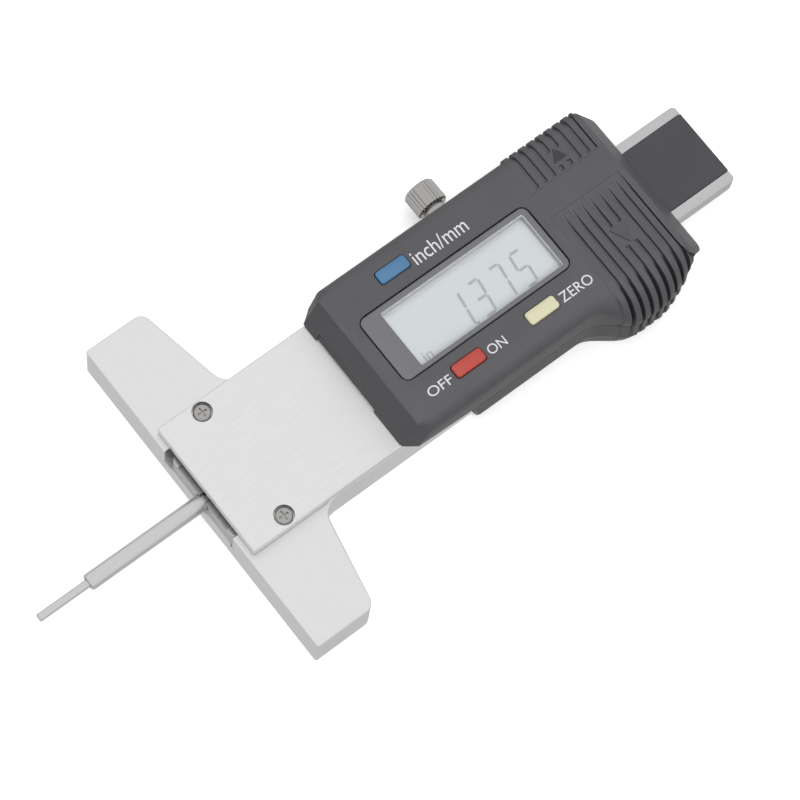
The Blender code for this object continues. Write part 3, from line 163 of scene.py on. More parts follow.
plasticFinish = {
    "housing": (0.084, 0.083, 0.090), "bezel": (0.160, 0.158, 0.169), "grainScale": 5200.0,
    "grainDepth": 0.012 * mm, "blue": (0.077, 0.202, 0.371), "red": (0.473, 0.062, 0.047),
    "yellow": (0.718, 0.690, 0.470), "grainDetail": 2.0, "grainRoughness": 0.55, "toneScale": 120.0,
    "wear": 0.05, "bump": 0.6,
}


def mouldedPlastic(name, colour, roughness, grain=1.0, change=0.05):
    # fine spark-eroded grain with slow, faint changes of tone
    v = plasticFinish
    made, tree, shader = newMaterial(name)
    grainValue = noiseNode(tree, objectCoords(tree), v["grainScale"], v["grainDetail"], v["grainRoughness"])
    tone = noiseNode(tree, objectCoords(tree), v["toneScale"])
    tree.links.new(toneAround(tree, tone, colour, change), shader.inputs["Base Color"])
    worn = spread(tree, grainValue, roughness - v["wear"], roughness + v["wear"])
    tree.links.new(worn, shader.inputs["Roughness"])
    addBump(tree, shader, grainValue, v["bump"] * grain, v["grainDepth"])
    return made


windowFinish = {
    "colour": (0.92, 0.94, 0.95), "alpha": 0.10, "smearScale": 260.0, "smearRoughness": 0.6,
    "roughness": (0.04, 0.09),
}


def clearWindow(name):
    # thin clear sheet: mostly see-through, with a polished skin that smears light a little where it was wiped
    v = windowFinish
    made, tree, shader = newMaterial(name)
    smears = noiseNode(tree, objectCoords(tree), v["smearScale"], roughness=v["smearRoughness"])
    tree.links.new(spread(tree, smears, *v["roughness"]), shader.inputs["Roughness"])
    setInputs(shader, {"Base Color": (*v["colour"], 1), "Alpha": v["alpha"]})
    made.surface_render_method = "BLENDED"
    return made


materials = {
    "brushedPlate": brushedSteel("brushed_plate", steelFinish["plateColour"], 0.42, 0),
    "groundBase": brushedSteel("ground_base", steelFinish["groundColour"], 0.40, 1, 0.5, 0.03),
    "groundBeam": brushedSteel("ground_beam", steelFinish["beamColour"], 0.36, 0, 0.6),
    "turnedPin": brushedSteel("turned_pin", steelFinish["pinColour"], 0.30, 0, 0.4),
    "nickel": brushedSteel("nickel_plate", (0.42, 0.41, 0.40), 0.28, 2, 0.2),
    "brass": brushedSteel("machined_brass", (0.62, 0.45, 0.18), 0.34, 0, 0.5),
    "cellSteel": brushedSteel("cell_steel", (0.70, 0.69, 0.66), 0.25, 0, 0.2),
    "scaleFilm": mouldedPlastic("scale_film", (0.056, 0.054, 0.060), 0.55, 0.3),
    "housing": mouldedPlastic("housing_plastic", plasticFinish["housing"], 0.50),
    "bezel": mouldedPlastic("bezel_plastic", plasticFinish["bezel"], 0.42, 0.25),
    "blue": mouldedPlastic("blue_plastic", plasticFinish["blue"], 0.40, 0.3),
    "red": mouldedPlastic("red_plastic", plasticFinish["red"], 0.40, 0.3),
    "yellow": mouldedPlastic("yellow_plastic", plasticFinish["yellow"], 0.40, 0.3),
    "rubber": mouldedPlastic("black_rubber", (0.05, 0.05, 0.05), 0.75, 0.8),
    "keypad": mouldedPlastic("keypad_rubber", (0.40, 0.40, 0.38), 0.70, 0.8),
    "board": mouldedPlastic("solder_mask", (0.03, 0.16, 0.07), 0.40, 0.3),
    "lcd": mouldedPlastic("lcd_face", (0.64, 0.68, 0.70), 0.35, 0.0, 0.01),
    "paleRim": mouldedPlastic("pale_rim", (0.78, 0.79, 0.80), 0.45, 0.1, 0.01),
    "figure": mouldedPlastic("figure_grey", (0.36, 0.37, 0.39), 0.40, 0.0, 0.01),
    "labelPrint": mouldedPlastic("label_print", (0.76, 0.76, 0.78), 0.50, 0.1, 0.01),
    "clear": clearWindow("clear_window"),
}
slotMaterials = {
    "ground_steel": "groundBase", "brushed_steel": "brushedPlate", "beam_steel": "groundBeam",
    "scale_film": "scaleFilm", "brass": "brass", "nickel": "nickel", "housing_plastic": "housing",
    "bezel_plastic": "bezel", "clear_plastic": "bezel", "lcd_glass": "lcd", "rubber": "rubber",
    "keypad_rubber": "keypad", "board_green": "board", "blue_plastic": "blue", "red_plastic": "red",
    "yellow_plastic": "yellow", "cell_steel": "cellSteel",
}
for subpart in frame["record"]["subparts"]:
    node = frame["nodes"][subpart["node"]]
    node.data.materials.clear()
    node.data.materials.append(materials[slotMaterials[subpart["material_slot"]]])
print("materials are on the solids")


# Mesh helpers: a piece is a grid of points, worked out as whole arrays in millimetres
mergeDistance = 0.0005 * mm
leastRadius = 0.03


def gridFaces(rows, columns, wrapRows=False, wrapColumns=True):
    # quads between neighbouring rows; a wrapped direction closes on itself
    i, j = np.meshgrid(np.arange(rows if wrapRows else rows - 1),
                       np.arange(columns if wrapColumns else columns - 1), indexing="ij")
    below, across = (i + 1) % rows, (j + 1) % columns
    return np.stack([i * columns + j, i * columns + across, below * columns + across, below * columns + j],
                    -1).reshape(-1, 4).tolist()


def addPiece(name, points, faces, finish, body, sharp=40.0):
    # a new object at the origin, shaded smooth up to an angle, with its faces turned outwards
    mesh = bpy.data.meshes.new(name)
    mesh.from_pydata(place(np.asarray(points).reshape(-1, 3)).tolist(), [], faces)
    shape = bmesh.new()
    shape.from_mesh(mesh)
    bmesh.ops.remove_doubles(shape, verts=shape.verts, dist=mergeDistance)
    bmesh.ops.recalc_face_normals(shape, faces=shape.faces)
    shape.to_mesh(mesh)
    shape.free()
    mesh.shade_smooth()
    mesh.set_sharp_from_angle(angle=math.radians(sharp))
    mesh.materials.append(materials[finish])
    piece = bpy.data.objects.new(name, mesh)
    bpy.context.collection.objects.link(piece)
    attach(piece, body)
    return piece


def roundedRing(xRange, yRange, radius, z, inset=0.0, steps=7):
    # rounded rectangle at one height: four quarter circles joined by straight runs
    turn = np.radians(np.add.outer(90.0 * np.arange(4), np.linspace(0, 90, steps)))
    radius = max(radius - inset, leastRadius)
    half = np.array([xRange[1] - xRange[0], yRange[1] - yRange[0]]) / 2 - inset
    middle = np.array([xRange[0] + xRange[1], yRange[0] + yRange[1]]) / 2
    signs = np.array([(1, 1), (-1, 1), (-1, -1), (1, -1)])
    corner = middle + signs * (half - radius)
    ring = corner[:, None, :] + radius * np.stack([np.cos(turn), np.sin(turn)], -1)
    ring = ring.reshape(-1, 2)
    return np.column_stack([ring, np.full(len(ring), z)])


def shrunkRing(ring, share, z):
    # a ring drawn in towards its middle
    middle = ring.mean(0)
    drawn = middle + (ring - middle) * share
    drawn[:, 2] = z
    return drawn


def stackRings(rings):
    # a closed body from rings, with flat ends
    rows, columns = len(rings), len(rings[0])
    faces = gridFaces(rows, columns)
    ends = [list(range(columns))[::-1], list(range((rows - 1) * columns, rows * columns))]
    return np.array(rings), faces + ends


def loopRings(rings):
    # a closed frame from rings, the last joined to the first
    return np.array(rings), gridFaces(len(rings), len(rings[0]), wrapRows=True)


# Display: bezel, pale rim, lens, face and figures
displayValues = {
    "bezelX": (35.02, 68.08), "bezelY": (-6.18, 6.18), "bezelRadius": 1.15, "bezelTop": 16.98,
    "bezelEdge": 0.12, "bezelDepth": 0.7, "windowX": (38.7, 67.05), "windowY": (-5.4, 5.2),
    "windowRadius": 0.35, "rimWall": 0.18, "lensZ": (15.3, 15.95), "faceZ": 15.0,
    "faceX": (38.95, 66.55), "faceY": (-5.2, 4.78), "faceLift": 0.03, "faceSink": 0.02, "faceRadius": 0.3,
    "rimDrop": 0.1, "rimBevel": 0.04, "rimDraft": 0.06, "lensEdge": 0.05, "glassRadius": 0.2, "edgeRows": 5,
}


def makeBezel():
    # outer and inner rounded rectangles, joined over a flat top with a small round at each edge
    v = displayValues
    top, edge = v["bezelTop"], v["bezelEdge"]
    bottom = top - v["bezelDepth"]
    turn = np.linspace(0, math.pi / 2, v["edgeRows"])
    outer = [roundedRing(v["bezelX"], v["bezelY"], v["bezelRadius"], bottom)]
    outer += [roundedRing(v["bezelX"], v["bezelY"], v["bezelRadius"], top - edge * (1 - math.sin(a)),
                          edge * (1 - math.cos(a))) for a in turn]
    inner = [roundedRing(v["windowX"], v["windowY"], v["windowRadius"], top - edge * (1 - math.cos(a)),
                         -edge * (1 - math.sin(a))) for a in turn]
    inner.append(roundedRing(v["windowX"], v["windowY"], v["windowRadius"], bottom))
    points, faces = loopRings(outer + inner)
    bezel = addPiece("bezel_insert", points, faces, "bezel", "frame")
    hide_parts("display_bezel")


def sheet(low, high, radius, bottom, top):
    # a flat sheet in the plan of a box, with a small chamfer round both faces
    edge = displayValues["lensEdge"]
    rings = [roundedRing((low[0], high[0]), (low[1], high[1]), radius, z, inset)
             for z, inset in ((bottom, edge), (bottom + edge, 0), (top - edge, 0), (top, edge))]
    return stackRings(rings)


def makeWindow():
    # a pale rim lines the window down to the lens, and the lens lies over the display's face
    v = displayValues
    low, high = v["lensZ"]
    wall, bevel, rimTop = v["rimWall"], v["rimBevel"], v["bezelTop"] - v["rimDrop"]
    rim = [roundedRing(v["windowX"], v["windowY"], v["windowRadius"], z, inset)
           for z, inset in ((high, -wall), (rimTop, -wall), (rimTop, 0.0), (rimTop - bevel, bevel),
                            (high, v["rimDraft"]))]
    points, faces = loopRings(rim)
    addPiece("window_rim", points, faces, "paleRim", "frame")
    lensLow, lensHigh = nodeBox("window_lens")
    points, faces = sheet(lensLow, lensHigh, v["windowRadius"], low, high)
    lens = addPiece("clear_window", points, faces, "clear", "frame")
    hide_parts("window_lens")


def makeFace():
    # the display's glass with its white border, and the pale field that the figures stand on
    v = displayValues
    glassLow, glassHigh = nodeBox("lcd_glass")
    points, faces = sheet(glassLow, glassHigh, v["glassRadius"], glassLow[2], glassHigh[2])
    glass = addPiece("display_glass", points, faces, "paleRim", "frame")
    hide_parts("lcd_glass")
    rings = [roundedRing(v["faceX"], v["faceY"], v["faceRadius"], v["faceZ"] + z)
             for z in (-v["faceSink"], v["faceLift"])]
    points, faces = stackRings(rings)
    addPiece("display_field", points, faces, "lcd", "frame")


figureValues = {
    "reading": "1.375", "starts": (48.05, 52.1, 56.3, 60.45), "width": 2.45, "top": 1.6, "bottom": -4.9,
    "bar": 0.5, "gap": 0.07, "slant": 0.14, "mark": (50.75, -4.65), "markSize": 0.5,
    "unit": "in", "unitBox": ((40.2, 41.8), (-4.9, -3.3)), "lift": 0.02,
}
# which of the seven bars each figure lights: a to d clockwise from the top to the bottom, e and f up the left
# side, and g across the middle
litBars = {"1": "bc", "3": "abcdg", "5": "acdfg", "7": "abc"}


def figureBar(letter, start):
    # one bar is a long hexagon between two of the six corners of a figure, leaning with the slant
    v = figureValues
    half, width, height = v["bar"] / 2, v["width"], v["top"] - v["bottom"]
    left, right = half, width - half
    low, middle, high = half, height / 2, height - half
    ends = {"a": ((left, high), (right, high)), "b": ((right, middle), (right, high)),
            "c": ((right, low), (right, middle)), "d": ((left, low), (right, low)),
            "e": ((left, low), (left, middle)), "f": ((left, middle), (left, high)),
            "g": ((left, middle), (right, middle))}
    a, b = (np.array(end) for end in ends[letter])
    along = (b - a) / np.linalg.norm(b - a)
    across = np.array([-along[1], along[0]])
    a, b = a + along * v["gap"], b - along * v["gap"]
    outline = np.array([a, a + (along - across) * half, b - (along + across) * half, b,
                        b + (across - along) * half, a + (along + across) * half])
    outline[:, 0] += start + v["slant"] * outline[:, 1]
    outline[:, 1] += v["bottom"]
    return outline


def thinPlates(name, outlines, z, lift, finish):
    # flat outlines given a hair's thickness, all in one piece
    points, faces = [], []
    for outline in outlines:
        count, first = len(outline), len(points)
        for height in (z, z + lift):
            points += [(x, y, height) for x, y in outline]
        faces += (np.array(gridFaces(2, count)) + first).tolist()
        faces += [list(range(first, first + count))[::-1], list(range(first + count, first + 2 * count))]
    return addPiece(name, np.array(points), faces, finish, "frame")


def makeFigures():
    # every lit bar of the reading and the square decimal mark, as one thin plate
    v = figureValues
    figures = [letter for letter in v["reading"] if letter.isdigit()]
    outlines = [figureBar(bar, start)
                for letter, start in zip(figures, v["starts"]) for bar in litBars[letter]]
    x, y = v["mark"]
    size = v["markSize"] / 2
    outlines.append(np.array([(x - size, y - size), (x + size, y - size), (x + size, y + size),
                              (x - size, y + size)]))
    z = displayValues["faceZ"] + displayValues["faceLift"]
    thinPlates("display_figures", outlines, z, v["lift"], "figure")


# Printed words beside the buttons, and the small unit sign on the display
labelValues = {
    # text, from and to along the gauge, foot and head across it
    "label_unit": ("inch/mm", (48.4, 58.8), (8.05, 10.6)),
    "label_off": ("OFF", (36.55, 41.1), (-10.6, -8.95)),
    "label_on": ("ON", (48.4, 51.8), (-10.6, -8.95)),
    "label_zero": ("ZERO", (63.0, 69.2), (-10.55, -8.8)),
}
printLift = 0.02
letterDepth = 0.02


def makeWord(name, text, xRange, yRange, z, finish, slot):
    # Blender's own letters, made a mesh and stretched in all three directions to the place they fill
    curve = bpy.data.curves.new(name, "FONT")
    curve.body = text
    curve.extrude = letterDepth
    letters = bpy.data.objects.new(name + "_letters", curve)
    bpy.context.collection.objects.link(letters)
    bpy.context.view_layer.update()
    graph = bpy.context.evaluated_depsgraph_get()
    mesh = bpy.data.meshes.new_from_object(letters.evaluated_get(graph))
    bpy.data.objects.remove(letters)
    points = np.empty(len(mesh.vertices) * 3)
    mesh.vertices.foreach_get("co", points)
    points = points.reshape(-1, 3)
    low, high = points.min(0), points.max(0)
    share = (points - low) / (high - low)
    target = np.array([xRange, yRange, (z, z + printLift)])
    points = target[:, 0] + share * (target[:, 1] - target[:, 0])
    mesh.vertices.foreach_set("co", place(points).ravel())
    mesh.materials.clear()
    mesh.materials.append(materials[finish])
    mesh.name = name
    word = bpy.data.objects.new(name, mesh)
    bpy.context.collection.objects.link(word)
    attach(word, "frame")


def makeLabels():
    # the words lie half sunk in the housing's top, and the unit on the display's field
    top = nodeBox("top_housing")[1][2]
    for name, (text, xRange, yRange) in labelValues.items():
        makeWord(name, text, xRange, yRange, top - printLift / 2, "labelPrint", "housing_plastic")
    v = figureValues
    z = displayValues["faceZ"] + displayValues["faceLift"]
    makeWord("display_unit", v["unit"], *v["unitBox"], z, "figure", "lcd_glass")


# Push buttons
buttonValues = {
    "length": 5.75, "width": 2.35, "radius": 0.55, "edge": 0.30, "crown": 0.14, "flangeZ": (14.75, 15.35),
    "edgeRows": 6, "crownRows": 9, "innerShare": 0.04,
    "finishes": {"inch_mm_button": ("blue", "inch_mm_key", "blue_plastic"),
                 "power_button": ("red", "power_key", "red_plastic"),
                 "zero_button": ("yellow", "zero_key", "yellow_plastic")},
}


def makeButtons():
    # flange, straight sides, a quarter round at the edge and a crown that falls with the square of the
    # distance from the middle
    v = buttonValues
    turn = np.linspace(0, math.pi / 2, v["edgeRows"])
    shares = np.linspace(1, v["innerShare"], v["crownRows"])[1:]
    for node, (finish, body, slot) in v["finishes"].items():
        low, high = nodeBox(node)
        middle = (low + high) / 2
        spanX = middle[0] + np.array([-0.5, 0.5]) * v["length"]
        spanY = middle[1] + np.array([-0.5, 0.5]) * v["width"]
        rimZ = high[2] - v["crown"]
        rings = [roundedRing((low[0], high[0]), (low[1], high[1]), v["radius"], z) for z in v["flangeZ"]]
        rings.append(roundedRing(spanX, spanY, v["radius"], v["flangeZ"][1]))
        rings += [roundedRing(spanX, spanY, v["radius"], rimZ - v["edge"] * (1 - math.sin(a)),
                              v["edge"] * (1 - math.cos(a))) for a in turn]
        rings += [shrunkRing(rings[-1], share, rimZ + v["crown"] * (1 - share ** 2)) for share in shares]
        points, faces = stackRings(rings)
        cap = addPiece(node.replace("_button", "_key_cap"), points, faces, finish, body)
        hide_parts(node)


# Housing form: the side swings out into the thumb grip and falls back towards the tail
housingForm = {
    "half": 14.4, "top": 17.0, "rim": 9.0, "round": 2.3, "draft": 0.25, "flareX": (65.5, 73.5),
    "fallX": (77.5, 91.3), "flareReach": 4.1, "flareDrop": 7.6, "tailX": 89.3, "tailLean": 4.2,
}


def smoothStep(value, start, end):
    # rises from nothing to one between two places, level at both ends
    share = np.clip((value - start) / (end - start), 0, 1)
    return share * share * (3 - 2 * share)


def flareShare(x, side):
    # how far the grip is out: up one smooth step and down another, on one side only
    v = housingForm
    return (smoothStep(x, *v["flareX"]) * (1 - smoothStep(x, *v["fallX"]))) * (side < 0)


def sidePlace(x, part, along, side, lift, innerY):
    # a place on the housing's outside: part 0 is the drafted wall, 1 the quarter ellipse, 2 the flat top
    v = housingForm
    flare = flareShare(x, side)
    reach = v["half"] + v["flareReach"] * flare
    drop = v["round"] + (v["flareDrop"] - v["round"]) * flare
    topY = v["half"] - v["round"]
    turn = along * math.pi / 2
    wallY = reach - v["draft"] * (1 - along) + lift
    wallZ = coverValues["rimZ"] + (v["top"] - drop - coverValues["rimZ"]) * along
    archY = topY + (reach - topY + lift) * np.cos(turn)
    archZ = v["top"] - drop + (drop + lift) * np.sin(turn)
    flatY = topY + (innerY * side - topY) * along
    y = side * np.choose(part, [wallY, archY, flatY])
    z = np.choose(part, [wallZ, archZ, v["top"] + lift])
    return y, z


# Ribbed covers over the battery and the data port
coverValues = {
    "startX": 70.16, "ribX": 70.4, "pitch": 1.74, "ribs": 9, "flank": 0.12, "land": 1.0, "height": 0.34,
    "valley": 0.42, "gripValley": 1.15, "wall": 1.4, "rimZ": 9.12, "endGap": 0.06, "tailWall": 1.1,
    "columns": (10, 26, 70), "innerColumns": (3, 12, 2), "filled": (76.25, 79.75), "soft": 0.22,
    "ribFade": (0.1, 1.6), "outerSettles": 3, "innerSettles": 2,
}
covers = {
    # name, node, body, side, inner edge, the ribs' run-in across the gauge, the plain field round the arrow
    "ribbed_battery_cover": ("battery_cover", "battery_lid", -1, 1.82, (1.7, -1.9), (-5.0, -8.9)),
    "ribbed_port_cover": ("port_cover", "port_lid", 1, 6.78, (7.1, 7.4), (8.2, 10.8)),
}


def ribLift(x, height, valley):
    # raised lands and sunk valleys that repeat along the gauge, with soft flanks
    v = coverValues
    count = (x - v["ribX"]) / v["pitch"]
    within = (count - np.floor(count)) * v["pitch"]
    land = smoothStep(within, 0, v["flank"]) * (1 - smoothStep(within, v["flank"] + v["land"],
                                                                2 * v["flank"] + v["land"]))
    lift = -valley + (height + valley) * land
    lift = np.where((within < v["flank"]) & (count < 1), height * land, lift)
    return np.where((count < 0) | (count >= v["ribs"]), 0.0, lift)


def tailEnd(z, gap=0.0):
    # the sloped end that the covers and the tail's plain wall share
    v = housingForm
    foot = v["tailX"] - coverValues["tailWall"] - gap
    return foot - v["tailLean"] * (z - v["rim"]) / (v["top"] - v["rim"])


def ribRows():
    # stations close together on the flanks and wider on the lands and valleys
    v = coverValues
    step = np.concatenate([np.linspace(0, v["flank"], 6)[:-1],
                           v["flank"] + np.linspace(0, v["land"], 5)[:-1],
                           v["flank"] + v["land"] + np.linspace(0, v["flank"], 6)[:-1],
                           np.linspace(2 * v["flank"] + v["land"], v["pitch"], 4)[:-1]])
    ribs = v["ribX"] + np.add.outer(np.arange(v["ribs"]) * v["pitch"], step).ravel()
    end = v["ribX"] + v["ribs"] * v["pitch"]
    return np.concatenate([[v["startX"], v["startX"] + 0.05], ribs, np.linspace(end, tailEnd(v["rimZ"]), 8)])


def alongParts(columns):
    # each part of a section runs from nothing to one, and the last one takes in its end
    runs = [np.linspace(0, 1, count, endpoint=False) for count in columns[:2]]
    return np.concatenate(runs + [np.linspace(0, 1, columns[2])])


def makeCover(name, node, body, side, innerY, runIn, plainField):
    # closed sections along the gauge: ribbed outside, plain inside, cut off along the tail's slope;
    # the cut moves the stations and so the ribs, and a few turns settle both
    v = coverValues
    part = np.repeat([0, 1, 2], v["columns"])
    along = alongParts(v["columns"])
    part, along = part[None, :], along[None, :]
    x = ribRows()[:, None] + 0 * along
    lift = 0 * x
    for settle in range(v["outerSettles"]):
        y, z = sidePlace(x, part, along, side, lift, innerY)
        x = np.minimum(x, tailEnd(z, v["endGap"]))
        grown = np.clip((side * y - side * runIn[0]) / (side * (runIn[1] - runIn[0])), 0, 1)
        field = ((x > v["filled"][0]) & (x < v["filled"][1])) * 1.0
        field *= smoothStep(side * y, side * plainField[0] - v["soft"], side * plainField[0])
        field *= 1 - smoothStep(side * y, side * plainField[1], side * plainField[1] + v["soft"])
        down = smoothStep(housingForm["top"] - z, *v["ribFade"])
        height = v["height"] * down
        valley = v["valley"] + (v["gripValley"] - v["valley"]) * down * flareShare(x, side)
        ribbed = ribLift(x, height, valley) * grown
        lift = ribbed + (height - ribbed) * field
    y, z = sidePlace(x, part, along, side, lift, innerY)
    outer = np.stack([x, y, z], -1)
    innerPart = np.repeat([0, 1, 2], v["innerColumns"])[None, ::-1]
    innerAlong = alongParts(v["innerColumns"])[None, ::-1]
    x = ribRows()[:, None] + 0 * innerAlong
    lift = np.full(x.shape, -v["wall"])
    for settle in range(v["innerSettles"]):
        y, z = sidePlace(x, innerPart, innerAlong, side, lift, innerY)
        x = np.minimum(x, tailEnd(z, v["endGap"]))
    points, faces = stackRings(np.concatenate([outer, np.stack([x, y, z], -1)], axis=1))
    cover = addPiece(name, points, faces, "housing", body)
    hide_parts(node)


# Arrows on the covers, each a wedge with fine steps across it
arrowValues = {
    # name: body, from and to along the gauge, the base's and the tip's place across it
    "battery_arrow": ("battery_lid", (76.1, 80.0), -5.4, -8.7),
    "port_arrow": ("port_lid", (76.4, 79.4), 8.8, 11.0),
}
arrowForm = {"rise": 0.32, "sink": 0.5, "steps": 6, "stepDepth": 0.22, "grid": (73, 13), "side": 0.10,
             "taper": 0.94, "baseRun": 0.03, "floor": 0.1, "sharp": 25.0}


def makeArrow(name, body, spanX, baseY, tipY):
    # rows run from the base to the tip; each row is drawn in towards the middle, and its height saws up
    # and down
    v = arrowForm
    t, s = np.meshgrid(np.linspace(0, 1, v["grid"][0]), np.linspace(-1, 1, v["grid"][1]), indexing="ij")
    middle, half = sum(spanX) / 2, (spanX[1] - spanX[0]) / 2
    width = half * (1 - v["taper"] * t)
    ground = housingForm["top"]
    saw = (t * v["steps"]) % 1
    saw = np.where(t == 1, 1, saw)
    edge = np.clip((1 - np.abs(s)) * width / v["side"], 0, 1) * smoothStep(t, 0, v["baseRun"])
    z = ground - v["sink"] + (v["sink"] + v["rise"] - v["stepDepth"] * saw) * smoothStep(edge, 0, 1)
    top = np.stack([middle + s * width, baseY + (tipY - baseY) * t, z], -1)
    under = top.copy()
    under[..., 2] = ground - v["sink"] - v["floor"]
    rows, columns = v["grid"]
    faces = np.array(gridFaces(rows, columns, wrapColumns=False))
    count = rows * columns
    border = np.concatenate([np.arange(columns), columns * np.arange(1, rows) + columns - 1,
                             (rows - 1) * columns + np.arange(columns - 2, -1, -1),
                             columns * np.arange(rows - 2, 0, -1)])
    after = np.roll(border, -1)
    walls = np.stack([border, after, after + count, border + count], -1)
    faces = np.concatenate([faces, faces[:, ::-1] + count, walls]).tolist()
    addPiece(name, np.concatenate([top.reshape(-1, 3), under.reshape(-1, 3)]), faces, "housing", body,
             v["sharp"])


# Solids that keep their form: a merged copy with small rounds along the edges
softened = {
    # node: name, finish, round, body, slot
    "measuring_base": ("ground_base", "groundBase", 0.22, "frame", "ground_steel"),
    "cover_plate": ("brushed_plate", "brushedPlate", 0.14, "frame", "brushed_steel"),
    "measuring_beam": ("ground_beam", "groundBeam", 0.12, "beam", "beam_steel"),
    "top_housing": ("housing_top", "housing", 0.22, "frame", "housing_plastic"),
    "lower_housing": ("housing_bottom", "housing", 0.22, "frame", "housing_plastic"),
    "probe_rod": ("turned_rod", "turnedPin", 0.10, "beam", "ground_steel"),
    "probe_pin": ("turned_pin", "turnedPin", 0.06, "beam", "ground_steel"),
}
softenValues = {"angle": 28.0, "flatAngle": 0.6, "segments": 3}


def softenNode(node, name, finish, width, body, slot):
    # facets that lie in one plane are merged, then every edge sharper than the angle gets its round
    v = softenValues
    mesh = frame["nodes"][node].data.copy()
    mesh.name = name
    shape = bmesh.new()
    shape.from_mesh(mesh)
    bmesh.ops.remove_doubles(shape, verts=shape.verts, dist=mergeDistance)
    bmesh.ops.dissolve_limit(shape, angle_limit=math.radians(v["flatAngle"]), verts=shape.verts,
                             edges=shape.edges)
    shape.to_mesh(mesh)
    shape.free()
    mesh.shade_smooth()
    mesh.set_sharp_from_angle(angle=math.radians(v["angle"]))
    draft = bpy.data.objects.new(name + "_draft", mesh)
    bpy.context.collection.objects.link(draft)
    bevel = draft.modifiers.new("edge_round", "BEVEL")
    bevel.width, bevel.segments = width * mm, v["segments"]
    bevel.limit_method, bevel.angle_limit = "ANGLE", math.radians(v["angle"])
    bevel.harden_normals = True
    graph = bpy.context.evaluated_depsgraph_get()
    finished = bpy.data.meshes.new_from_object(draft.evaluated_get(graph))
    bpy.data.objects.remove(draft)
    finished.name = name
    finished.materials.clear()
    finished.materials.append(materials[finish])
    piece = bpy.data.objects.new(name, finished)
    bpy.context.collection.objects.link(piece)
    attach(piece, body)
    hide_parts(node)
    return piece


makeBezel()
makeWindow()
makeFace()
makeFigures()
makeLabels()
makeButtons()
for name, values in covers.items():
    makeCover(name, *values)
for name, values in arrowValues.items():
    makeArrow(name, *values)
for node, values in softened.items():
    softenNode(node, *values)
print("pieces are made")


# Floor, background, lamps and camera
stageValues = {
    "floorSize": 3.0, "floorDiffuse": 0.92, "mirrorWhite": 0.68, "sky": (0.12, 0.44), "bounce": 0.35,
    "floorGlow": 0.45,
}
cameraValues = {
    "location": (-142.985, -131.550, 537.097), "aim": (-0.75, -5.75, 8.0), "upTurn": 52.09,
    "lens": 160.94, "sensor": 36.0, "nearClip": 0.01,
}
lamps = [
    # name, place, size and power, in metres and watts
    ("key_lamp", (0.05, -0.45, 0.75), 0.5, 2.8),
    ("top_lamp", (0.0, 0.15, 0.9), 0.8, 4.0),
]


def makeWorld():
    # the camera, clear plastic and polished faces see plain white, and all else is lit by the sky
    world = bpy.data.worlds.new("studio")
    bpy.context.scene.world = world
    world.use_nodes = True
    tree = world.node_tree
    background = tree.nodes["Background"]
    ambient = tree.nodes.new("ShaderNodeBackground")
    # the sky's light grows with height: strong overhead and weak near the horizon
    coords = tree.nodes.new("ShaderNodeTexCoord")
    parts = tree.nodes.new("ShaderNodeSeparateXYZ")
    tree.links.new(coords.outputs["Generated"], parts.inputs[0])
    height = spread(tree, parts.outputs["Z"], *stageValues["sky"], 0.0, 1.0)
    tree.links.new(height, ambient.inputs["Strength"])
    setInputs(background, {"Color": (1, 1, 1, 1), "Strength": 1.0})
    rays = tree.nodes.new("ShaderNodeLightPath")
    seen = tree.nodes.new("ShaderNodeMath")
    seen.operation = "MAXIMUM"
    tree.links.new(rays.outputs["Is Camera Ray"], seen.inputs[0])
    tree.links.new(rays.outputs["Is Transmission Ray"], seen.inputs[1])
    white = tree.nodes.new("ShaderNodeMath")
    white.operation = "MAXIMUM"
    tree.links.new(seen.outputs[0], white.inputs[0])
    tree.links.new(rays.outputs["Is Glossy Ray"], white.inputs[1])
    mix = tree.nodes.new("ShaderNodeMixShader")
    tree.links.new(white.outputs[0], mix.inputs[0])
    tree.links.new(ambient.outputs[0], mix.inputs[1])
    tree.links.new(background.outputs[0], mix.inputs[2])
    tree.links.new(mix.outputs[0], tree.nodes["World Output"].inputs["Surface"])


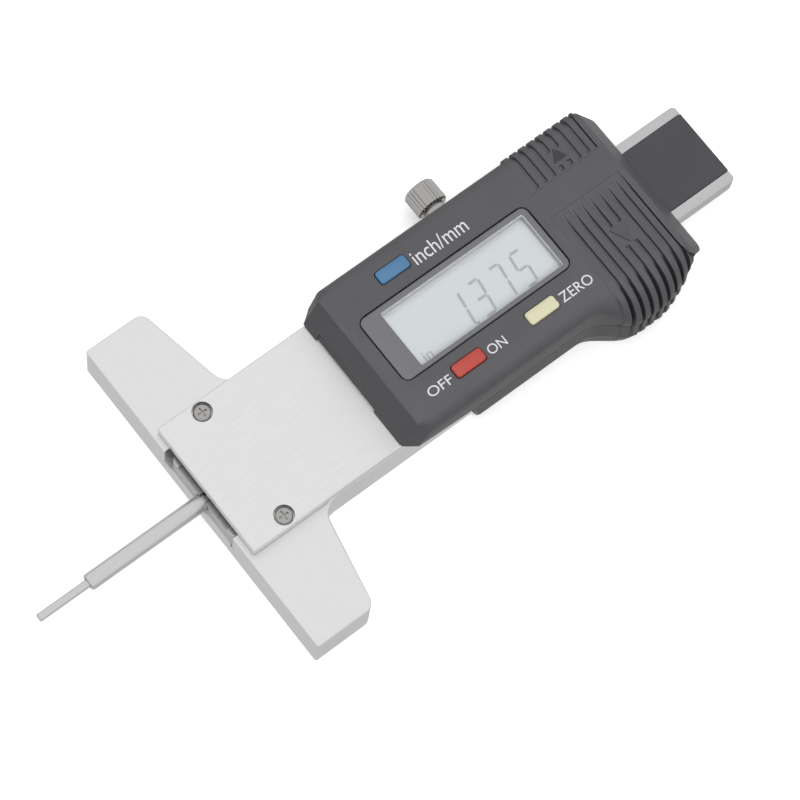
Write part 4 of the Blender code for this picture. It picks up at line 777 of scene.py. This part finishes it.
def makeFloor():
    # white paper for the camera, a plain pale surface in polished metal, and a dull one for bounced light
    size = stageValues["floorSize"] / 2
    mesh = bpy.data.meshes.new("floor")
    corners = [(-size, -size, 0), (size, -size, 0), (size, size, 0), (-size, size, 0)]
    mesh.from_pydata(corners, [], [(0, 1, 2, 3)])
    floor = bpy.data.objects.new("floor", mesh)
    bpy.context.collection.objects.link(floor)
    made = bpy.data.materials.new("floor_paper")
    made.use_nodes = True
    tree = made.node_tree
    tree.nodes.clear()
    output = tree.nodes.new("ShaderNodeOutputMaterial")
    paper = tree.nodes.new("ShaderNodeBsdfDiffuse")
    paper.inputs["Color"].default_value = (*[stageValues["floorDiffuse"]] * 3, 1)
    glow = tree.nodes.new("ShaderNodeEmission")
    glow.inputs["Strength"].default_value = stageValues["floorGlow"]
    both = tree.nodes.new("ShaderNodeAddShader")
    tree.links.new(paper.outputs[0], both.inputs[0])
    tree.links.new(glow.outputs[0], both.inputs[1])
    mirrored = tree.nodes.new("ShaderNodeEmission")
    mirrored.inputs["Strength"].default_value = stageValues["mirrorWhite"]
    rays = tree.nodes.new("ShaderNodeLightPath")
    dull = tree.nodes.new("ShaderNodeBsdfDiffuse")
    dull.inputs["Color"].default_value = (*[stageValues["bounce"]] * 3, 1)
    forGloss = tree.nodes.new("ShaderNodeMixShader")
    tree.links.new(rays.outputs["Is Glossy Ray"], forGloss.inputs[0])
    tree.links.new(dull.outputs[0], forGloss.inputs[1])
    tree.links.new(mirrored.outputs[0], forGloss.inputs[2])
    forCamera = tree.nodes.new("ShaderNodeMixShader")
    tree.links.new(rays.outputs["Is Camera Ray"], forCamera.inputs[0])
    tree.links.new(forGloss.outputs[0], forCamera.inputs[1])
    tree.links.new(both.outputs[0], forCamera.inputs[2])
    tree.links.new(forCamera.outputs[0], output.inputs["Surface"])
    mesh.materials.append(made)


def makeLamps():
    # each lamp looks from its place to the gauge's middle
    for name, spot, size, power in lamps:
        data = bpy.data.lights.new(name, "AREA")
        data.shape = "DISK"
        data.size = size
        data.energy = power
        lamp = bpy.data.objects.new(name, data)
        lamp.location = spot
        lamp.visible_glossy = False
        lamp.rotation_euler = Vector(spot).to_track_quat("Z", "Y").to_euler()
        bpy.context.collection.objects.link(lamp)


def makeCamera():
    # the photograph's own view: its axes come from where it stands, where it aims and which way is up
    data = bpy.data.cameras.new("camera")
    data.lens = cameraValues["lens"]
    data.sensor_width = cameraValues["sensor"]
    data.sensor_fit = "HORIZONTAL"
    data.clip_start = cameraValues["nearClip"]
    camera = bpy.data.objects.new("camera", data)
    spot = Vector(cameraValues["location"]) * mm
    back = (spot - Vector(cameraValues["aim"]) * mm).normalized()
    turn = math.radians(cameraValues["upTurn"])
    right = Vector((math.cos(turn), math.sin(turn), 0)).cross(back).normalized()
    up = back.cross(right)
    axes = np.eye(4)
    axes[:3, 0], axes[:3, 1], axes[:3, 2], axes[:3, 3] = right, up, back, spot
    camera.matrix_world = Matrix(axes.tolist())
    bpy.context.collection.objects.link(camera)
    bpy.context.scene.camera = camera


makeWorld()
makeFloor()
makeLamps()
makeCamera()
bpy.context.scene.view_settings.view_transform = "Standard"
print("stage, lamps and camera are set")
